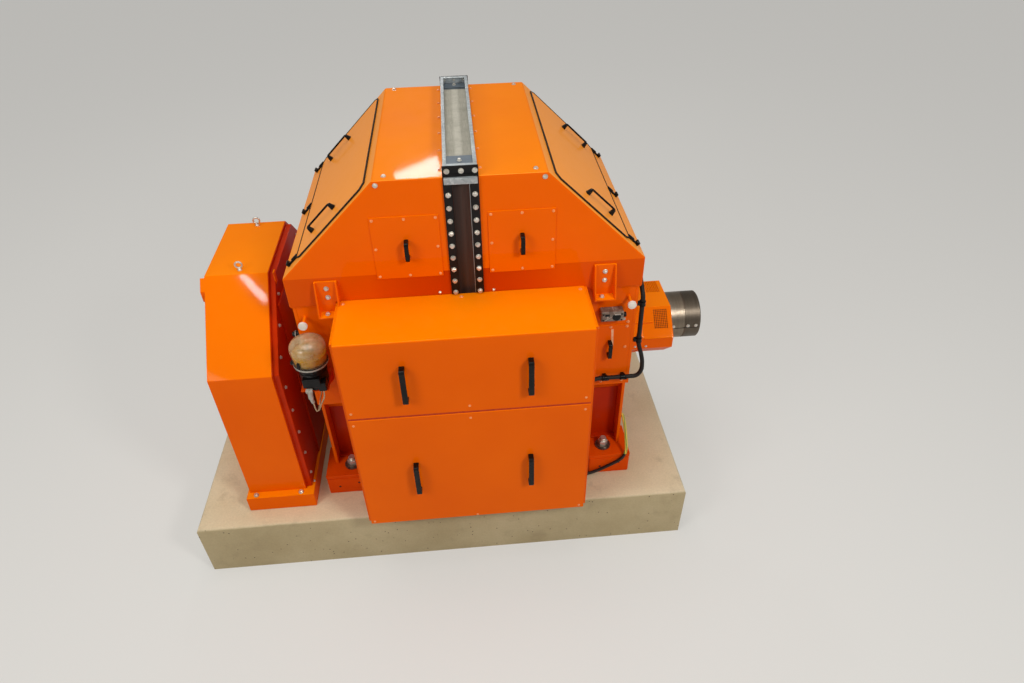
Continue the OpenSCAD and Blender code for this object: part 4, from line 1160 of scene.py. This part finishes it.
cup = at_pump(0, 0, cup_z)
bm = bmesh.new()
turned(bm, [(0.0, 0.0), (0.0825, 0.0), (0.084, 0.005), (0.0868, 0.030), (0.0898, 0.062), (0.0898, 0.082),
    (0.087, 0.097), (0.080, 0.109), (0.068, 0.119), (0.050, 0.127), (0.028, 0.1315), (0.012, 0.1325),
    (0.010, 0.134),
    (0.0, 0.134)], "Z", cup)
piece("grease_cup", bm, clear, ["grease_reservoir"], sharp=50, weighted=False)
bm = bmesh.new()
turned(bm, [(0.0, 0.001), (0.071, 0.001), (0.0795, 0.007), (0.0815, 0.028), (0.0840, 0.048), (0.068, 0.056),
    (0.040, 0.050), (0.012, 0.057), (0.0, 0.057)], "Z", cup)
piece("grease_fill", bm, grease, sharp=50, weighted=False)
bm = bmesh.new()
turned(bm, [(0.0, 0.050), (0.006, 0.050), (0.006, 0.100), (0.0, 0.100)], "Z", cup, 16)
block(bm, at_pump(-0.050, -0.004, cup_z + 0.060), at_pump(0.050, 0.004, cup_z + 0.066), 0.002, 2)
block(bm, at_pump(-0.050, -0.0845, cup_z + 0.010), at_pump(-0.036, -0.070, cup_z + 0.042), 0.003, 2)
piece("grease_stirrer", bm, black, sharp=40)

bm = bmesh.new()
turned(bm, [(0.0, 0.0), (0.058, 0.0), (0.063, 0.004), (0.064, 0.026), (0.0688, 0.030), (0.0688, 0.094),
    (0.064, 0.098), (0.064, 0.128), (0.072, 0.134), (0.086, 0.138), (0.086, 0.150), (0.084, 0.1528),
    (0.0, 0.1528)],
    "Z", pump)
block(bm, at_pump(-0.046, -0.0855, 0.036), at_pump(0.044, -0.050, 0.090), 0.006, 3)
block(bm, at_pump(0.026, -0.084, 0.010), at_pump(0.066, -0.030, 0.062), 0.005, 2)
block(bm, at_pump(-0.1000, -0.014, 0.136), at_pump(-0.080, 0.010, 0.152), 0.004, 2)
for a in (0.4, 1.4, 2.6, 3.7, 4.9):
    disc(bm, stand(at_pump(0.0745 * math.cos(a), 0.0745 * math.sin(a), 0.122)), 0.0085, 0.014, 18, 0.002)
piece("pump_body", bm, black, ["grease_pump"], sharp=40)

bm = bmesh.new()
turned(bm, [(0.0861, 0.140), (0.0868, 0.1415), (0.0868, 0.1485), (0.0861, 0.150), (0.0845, 0.150),
    (0.0845, 0.140),
    (0.0861, 0.140)], "Z", pump)
rod(bm, at_pump(-0.018, -0.090, 0.026), at_pump(-0.020, -0.088, -0.028), 0.0130, 20, 0.003)
rod(bm, at_pump(-0.020, -0.088, -0.028), at_pump(-0.016, -0.084, -0.060), 0.0095, 18, 0.002)
block(bm, at_pump(-0.036, -0.100, 0.014), at_pump(-0.002, -0.080, 0.034), 0.004, 2)
piece("pump_plug", bm, nylon, sharp=45)

hose = two_tone("beige_tube", (40, 3, 0.6), (0.4, 0.7), ((196, 176, 140), (158, 138, 104)), Roughness=0.5)
meeting = (-0.014, -0.062, -0.142)
tubes = [
    (0.0038, [(-0.016, -0.084, -0.058), (-0.016, -0.080, -0.084), (-0.017, -0.070, -0.118), meeting,
        (-0.006, 0.040, -0.130), (0.002, 0.114, -0.112)]),
    (0.0038, [(0.050, -0.080, 0.012), (0.044, -0.078, -0.030), (0.018, -0.072, -0.086),
    (-0.002, -0.066, -0.130),
        meeting]),
    (0.0035, [(-0.020, 0.066, 0.060), (-0.036, 0.086, 0.068), (-0.044, 0.098, 0.110), (-0.046, 0.104, 0.170),
        (-0.046, 0.114, 0.200)])]
bm = bmesh.new()
for radius, route in tubes:
    lead_along(bm, [at_pump(*spot) for spot in route], radius, 2)
piece("pump_tubes", bm, hose, sharp=60, weighted=False)

# cable gland in the end plate behind the lubricator
gland_at = ((-0.8602, -0.884, 0.017), (-0.884, -0.902, 0.0125))
gland_y, gland_z = -0.540, 1.540
bm = bmesh.new()
for start, end, radius in gland_at:
    rod(bm, (start, gland_y, gland_z), (end, gland_y, gland_z), radius, 24, 0.002)
piece("end_gland", bm, plastic, sharp=40)
bm = bmesh.new()
rod(bm, (-0.8835, gland_y, gland_z), (-0.8875, gland_y, gland_z), 0.0185, 28, 0.001)
piece("end_gland_ring", bm, nylon, sharp=40)

support_low, support_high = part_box("pump_bracket")
shelf_t, web_t = 0.008, 0.006
shelf_foot, wall_y = support_high[2] - shelf_t, support_high[1] - shelf_t
bm = bmesh.new()
block(bm, (support_low[0], support_low[1], shelf_foot), support_high, 0.003, 2, runs_level)
block(bm, (-0.842, wall_y, support_low[2]), (-0.762, support_high[1], shelf_foot), 0.002, 2)
for x in (-0.868, -0.744):
    web = prism(bm, [(wall_y, support_low[2] + 0.01), (support_high[1] - 0.002, support_low[2] + 0.01),
        (support_high[1] - 0.002, shelf_foot), (support_low[1] + 0.03, shelf_foot)], 0, x, web_t)
    soften(bm, web, 0.0015, 1)
piece("pump_shelf", bm, shaded_enamel, ["pump_bracket"])


# Shaft guard
# Eight-sided folded guard round the coupling, with square-punched ventilation
# grilles in its top and both upper chamfers, spot welded into their openings.
def coated(node, finish):
    """Gives a frame solid that is kept as it is its finish."""
    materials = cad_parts[node].data.materials
    materials.clear()
    materials.append(finish.material)


guard_low, guard_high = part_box("shaft_guard")
guard_x0, guard_x1 = guard_low[0], guard_high[0]
half_w, half_h, cut = 0.265, 0.170, 0.130


def octagon(grow):
    """The guard's outline as (y, z) corners, moved outwards by grow."""
    corner_shift = grow * 0.41
    quarter = [(half_w + grow, half_h - cut + corner_shift), (half_w - cut + corner_shift, half_h + grow)]
    right = [(y, -z) for y, z in reversed(quarter)] + quarter
    return [(y, z + shaft_z) for y, z in right + [(-y, z) for y, z in reversed(right)]]


piece("shaft_guard_sheet", dressed("shaft_guard", 0.0015), orange, ["shaft_guard"])
coated("shaft_guard_grilles", orange)
# flange where the guard screws to the end plate, and the lap seam round its middle
bm = bmesh.new()
for start, length, grow in ((guard_x0, 0.004, 0.014), (guard_x0 + 0.135, 0.018, 0.0022)):
    soften(bm, prism(bm, octagon(grow), 0, start, length), 0.0009, 1)
# split line between the guard's upper and lower halves, with a folded lip
split_y, split_z = half_w - cut / 2, shaft_z + half_h - cut / 2
for sy in (-1, 1):
    block(bm, (guard_x0 + 0.004, split_y - 0.004, split_z - 0.0045), (guard_x1 - 0.116, split_y + 0.0045,
        split_z + 0.004), 0.001, 1, side=(1, sy))
    block(bm, (guard_x0 + 0.160, half_w - 0.001, shaft_z + 0.036),
        (guard_x1 - 0.001, half_w + 0.0075, shaft_z + 0.040),
        0.001, 1, side=(1, sy))
piece("shaft_guard_seams", bm, orange)
# inside, a near-black lining is painted shade, so that the grille holes look dark
inside_shade = two_tone("painted_inside_shade", (12, 4, 0.6), (0.35, 0.7), ((20, 5, 3), (36, 9, 5)), Roughness=0.85)
bm = bmesh.new()
prism(bm, octagon(-0.0046), 0, guard_x0 + 0.001, guard_x1 - guard_x0 - 0.006)
bmesh.ops.recalc_face_normals(bm, faces=bm.faces)
open_ends = [f for f in bm.faces if abs(f.normal.x) > 0.9]
bmesh.ops.delete(bm, geom=open_ends, context="FACES_ONLY")
piece("shaft_guard_inside", bm, inside_shade, weighted=False)
bm = bmesh.new()
for sy in (-1, 1):
    for dx in (0.040, 0.110, 0.175):
        place = stand((guard_x0 + dx, sy * half_w, shaft_z - 0.022), (0, sy, 0))
        screw(bm, place, (0.0075, 0.0012, 18), (0.011, 0.005, 0.16), sunk=True)
piece("shaft_guard_screws", bm, zinc)


# Flywheel guard
# Welded sheet guard over the flywheel: folded octagon shell, a screwed side
# cover with a collar towards the machine, on a base frame bolted to the plinth.
# the side cover and its collar take the painted-shade red; the shell and the base take the orange
for name, node, radius, segments, finish in (
        ("flywheel_guard_sheet", "flywheel_guard_shell", 0.0028, 3, orange),
        ("flywheel_guard_side", "flywheel_guard_cover", 0.0022, 2, shade_red_enamel),
        ("flywheel_guard_ring", "flywheel_guard_collar", 0.0018, 2, shade_red_enamel),
        ("flywheel_guard_foot", "flywheel_guard_base", 0.004, 2, orange)):
    piece(name, dressed(node, radius, segments), finish, [node])

# screws round the side cover, on its upright edges and its slopes
side_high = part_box("flywheel_guard_cover")[1]
base_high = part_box("flywheel_guard_base")[1]
apothem, edge_pitch, lowest_screw = 0.600, 0.168, 0.565
diagonal = math.sqrt(0.5)
bm = bmesh.new()
for sy in (-1, 1):
    spots = [(sy * apothem, lowest_screw + k * edge_pitch, k) for k in range(5)]
    spots += [(sy * (apothem - (k - 1) * edge_pitch) * diagonal,
        shaft_z + (apothem + (k - 1) * edge_pitch) * diagonal, k) for k in range(3)]
    for y, z, spin in spots:
        screw(bm, stand((side_high[0], y, z), (1, 0, 0)), (0.010, 0.0018, 20), (0.016, 0.0075, 0.16), spin)
# holding-down screws on the base
for sy in (-1, 1):
    for x in (-1.309, -1.052):
        screw(bm, stand((x, sy * 0.681, base_high[2])), (0.0145, 0.003, 26), (0.024, 0.011, 0.16))
    place = stand((side_high[0] + 0.0085, sy * 0.604, base_high[2]))
    screw(bm, place, (0.0083, 0.0016), (0.0135, 0.0075, 0.16))
piece("flywheel_guard_screws", bm, zinc)

# small welded tab at the side cover's top fold
bm = bmesh.new()
block(bm, (side_high[0] - 0.004, -0.290, side_high[2] - 0.060),
    (side_high[0] + 0.003, -0.258, side_high[2] + 0.010),
    0.0015, 1)
piece("flywheel_guard_tabs", bm, orange)

# forged eye bolts for lifting the guard off
eyes_low, eyes_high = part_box("lifting_eyes")
eye_x, eye_y = (eyes_low[0] + eyes_high[0]) / 2, 0.357 * 0.658
ring_r, wire_r, ring_up = 0.0175, 0.005, 0.032
bm = bmesh.new()
for sy in (-1, 1):
    shank = Vector((eye_x, sy * eye_y, eyes_low[2]))
    turned(bm, [(0.0, 0.0), (0.0118, 0.0), (0.012, 0.001), (0.012, 0.005), (0.010, 0.008), (0.0072, 0.0105),
        (0.0068, 0.015), (0.0, 0.015)], "Z", shank, 32)
    eye = bmesh.new()
    bmesh.ops.create_circle(eye, cap_ends=False, segments=14, radius=wire_r,
        matrix=Matrix.Translation((ring_r, 0, 0)))
    bmesh.ops.spin(eye, geom=eye.verts[:] + eye.edges[:], cent=(0, 0, 0), axis=(0, 1, 0), angle=math.tau,
        steps=40,
        use_merge=True, use_duplicate=False)
    bmesh.ops.remove_doubles(eye, verts=eye.verts[:], dist=0.00002)
    bmesh.ops.recalc_face_normals(eye, faces=eye.faces)
    add(bm, eye, Matrix.Translation(shank + Vector((0, 0, ring_up))))
piece("eye_bolts", bm, zinc, ["lifting_eyes"], sharp=50, weighted=False)


# Rotor
# The turning parts: bright-turned shaft with its coupling sleeve at the driven
# end and the flywheel inside its guard. The sleeve is clamped by socket screws.
steel = Finish("turned_steel", Metallic=1.0)
lines = steel.ramp(steel.grain(1.0, 3, 0.6, steel.stretched((900, 6, 6))), 0.3, 0.7)
bands = steel.ramp(steel.grain(1.0, 4, 0.6, steel.stretched((26, 1.5, 1.5))), 0.35, 0.68)
film = steel.ramp(steel.grain(9, 5, 0.65), 0.45, 0.75)
# beyond x = 1.305 the sleeve's end is coloured darker: a painted reflection
darker = steel.ramp(steel.along(0), 1.303, 1.305)
ground = steel.blend(lines, paint(124, 113, 99), paint(160, 148, 132))
ground = steel.blend(bands * 0.45, ground, paint(84, 72, 58))
ground = steel.blend(film * 0.4, ground, paint(112, 92, 72))
ground = steel.blend(darker * 0.6, ground, paint(70, 62, 54))
steel.wire(Base_Color=ground, Roughness=0.33 + lines * 0.08 + film * 0.14 + darker * 0.06)
steel.bump(lines, 0.06, 0.0005)
for node in ("rotor_shaft", "flywheel"):
    coated(node, steel)

sleeve_low, sleeve_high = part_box("coupling_sleeve")
x0, x1 = sleeve_low[0], sleeve_high[0]
sleeve_r, groove_deep, edge_cut = 0.143, 0.0025, 0.004
bolt_circle_r, bolt_hole_r = 0.110, 0.012
bm = bmesh.new()
turned(bm, [(x0, bore_r), (x0, sleeve_r - edge_cut), (x0 + edge_cut, sleeve_r), (x1 - 0.106, sleeve_r),
    (x1 - 0.1045, sleeve_r - groove_deep), (x1 - 0.0975, sleeve_r - groove_deep), (x1 - 0.096, sleeve_r),
    (x1 - 0.005, sleeve_r), (x1, sleeve_r - 0.005), (x1, bore_r), (x1 - 0.006, 0.088), (x1 - 0.006, 0.0),
    (x0, 0.0), (x0, bore_r)], "X", on_shaft, 96)
piece("sleeve_turning", bm, steel, ["coupling_sleeve"], sharp=30, body="rotor")
# the bolt holes are near-black plugs: painted shade
bm = bmesh.new()
for k in range(8):
    a = math.tau * k / 8
    spot = Vector((x1 - 0.012, bolt_circle_r * math.sin(a), shaft_z + bolt_circle_r * math.cos(a)))
    rod(bm, spot, spot + Vector((0.0124, 0, 0)), bolt_hole_r, 24)
piece("sleeve_bolt_holes", bm, pitch_black, weighted=False, body="rotor")
bm = bmesh.new()
for sy in (-1, 1):
    block(bm, (x1 - 0.195, sleeve_r - 0.004, shaft_z - 0.0018),
        (x1 - 0.004, sleeve_r + 0.0006, shaft_z + 0.0018),
        side=(1, sy))
piece("sleeve_split_line", bm, pitch_black, weighted=False, body="rotor")
bm = bmesh.new()
for sy in (-1, 1):
    for back in (0.168, 0.078, 0.030):
        place = stand((x1 - back, sy * (sleeve_r - 0.001), shaft_z + 0.014), (0, sy, 0))
        screw(bm, place, (0.0105, 0.0035, 24, 0.001), (0.0125, 0.005, 0.16))
piece("sleeve_clamp_screws", bm, zinc, body="rotor")


# Studio
# Plain pale floor and backdrop with soft lamps overhead, so that the enamel
# shows broad highlights. None of it belongs to the machine.
floor_mesh = bpy.data.meshes.new("floor")
floor_bm = bmesh.new()
bmesh.ops.create_grid(floor_bm, x_segments=1, y_segments=1, size=30)
floor_bm.to_mesh(floor_mesh)
floor_bm.free()
floor = bpy.data.objects.new("floor", floor_mesh)
bpy.context.scene.collection.objects.link(floor)
pale = Finish("pale_floor", Roughness=0.6)
pale.shader.inputs["Base Color"].default_value = (0.66, 0.65, 0.62, 1)
seen = (pale.node("LightPath", {}, {}, "Is Camera Ray") + pale.node("LightPath", {}, {}, "Is Glossy Ray")
    + pale.node("LightPath", {}, {}, "Is Transmission Ray"))
glow = pale.node("Emission", {}, {"Color": (0.82, 0.81, 0.78, 1), "Strength": 1.0})
shown = pale.node("MixShader", {}, {0: seen * 0.45, 1: Signal(pale, pale.shader.outputs[0]), 2: glow})
pale.tree.links.new(shown.socket, pale.output.inputs[0])
floor_mesh.materials.append(pale.material)

# the room lights the machine weakly, and the backdrop looks brighter than that
room_light, backdrop_glow = 0.31, 0.42
world = bpy.data.worlds.new("studio")
bpy.context.scene.world = world
world.use_nodes = True
sky = world.node_tree.nodes["Background"]
sky.inputs["Color"].default_value = (1.0, 0.97, 0.93, 1)
ray = world.node_tree.nodes.new("ShaderNodeLightPath")
backdrop = world.node_tree.nodes.new("ShaderNodeMath")
backdrop.operation = "MULTIPLY_ADD"
backdrop.inputs[1].default_value = backdrop_glow
backdrop.inputs[2].default_value = room_light
world.node_tree.links.new(ray.outputs["Is Camera Ray"], backdrop.inputs[0])
world.node_tree.links.new(backdrop.outputs[0], sky.inputs["Strength"])


def lamp(name, place, aim, size, watts, colour, roll=0.0):
    """A soft oblong lamp at a place, turned towards a point and rolled about its own axis."""
    data = bpy.data.lights.new(name, "AREA")
    data.shape = "RECTANGLE"
    data.size, data.size_y = size
    data.energy = watts
    data.color = colour
    made = bpy.data.objects.new(name, data)
    bpy.context.scene.collection.objects.link(made)
    made.location = place
    turned_to = (Vector(aim) - Vector(place)).to_track_quat("-Z", "Y").to_matrix()
    made.rotation_euler = (turned_to @ Matrix.Rotation(math.radians(roll), 3, "Z")).to_euler()


lamp("overhead", (-0.9, -0.4, 9.0), (-0.3, 0.0, 1.2), (5.0, 4.0), 188, (1.0, 0.98, 0.94))
lamp("key", (3.0, -4.2, 5.2), (0, 0, 1.2), (1.0, 1.0), 150, (1.0, 0.98, 0.95))
lamp("left_fill", (-3.5, -3.6, 4.4), (-0.6, 0, 1.2), (2.0, 1.2), 74, (1.0, 0.98, 0.95))
# two small lamps whose images lie on the roof and on the flywheel guard
lamp("roof_glint", (-0.57, 5.72, 5.3), (-0.18, -0.55, 2.375), (0.66, 0.26), 26, (1.0, 0.99, 0.97), 18)
lamp("guard_glint", (-2.25, -2.46, 4.95), (-1.15, -0.45, 1.6), (0.38, 0.07), 9, (1.0, 0.99, 0.97), -28)

bpy.context.scene.view_settings.view_transform = "Standard"
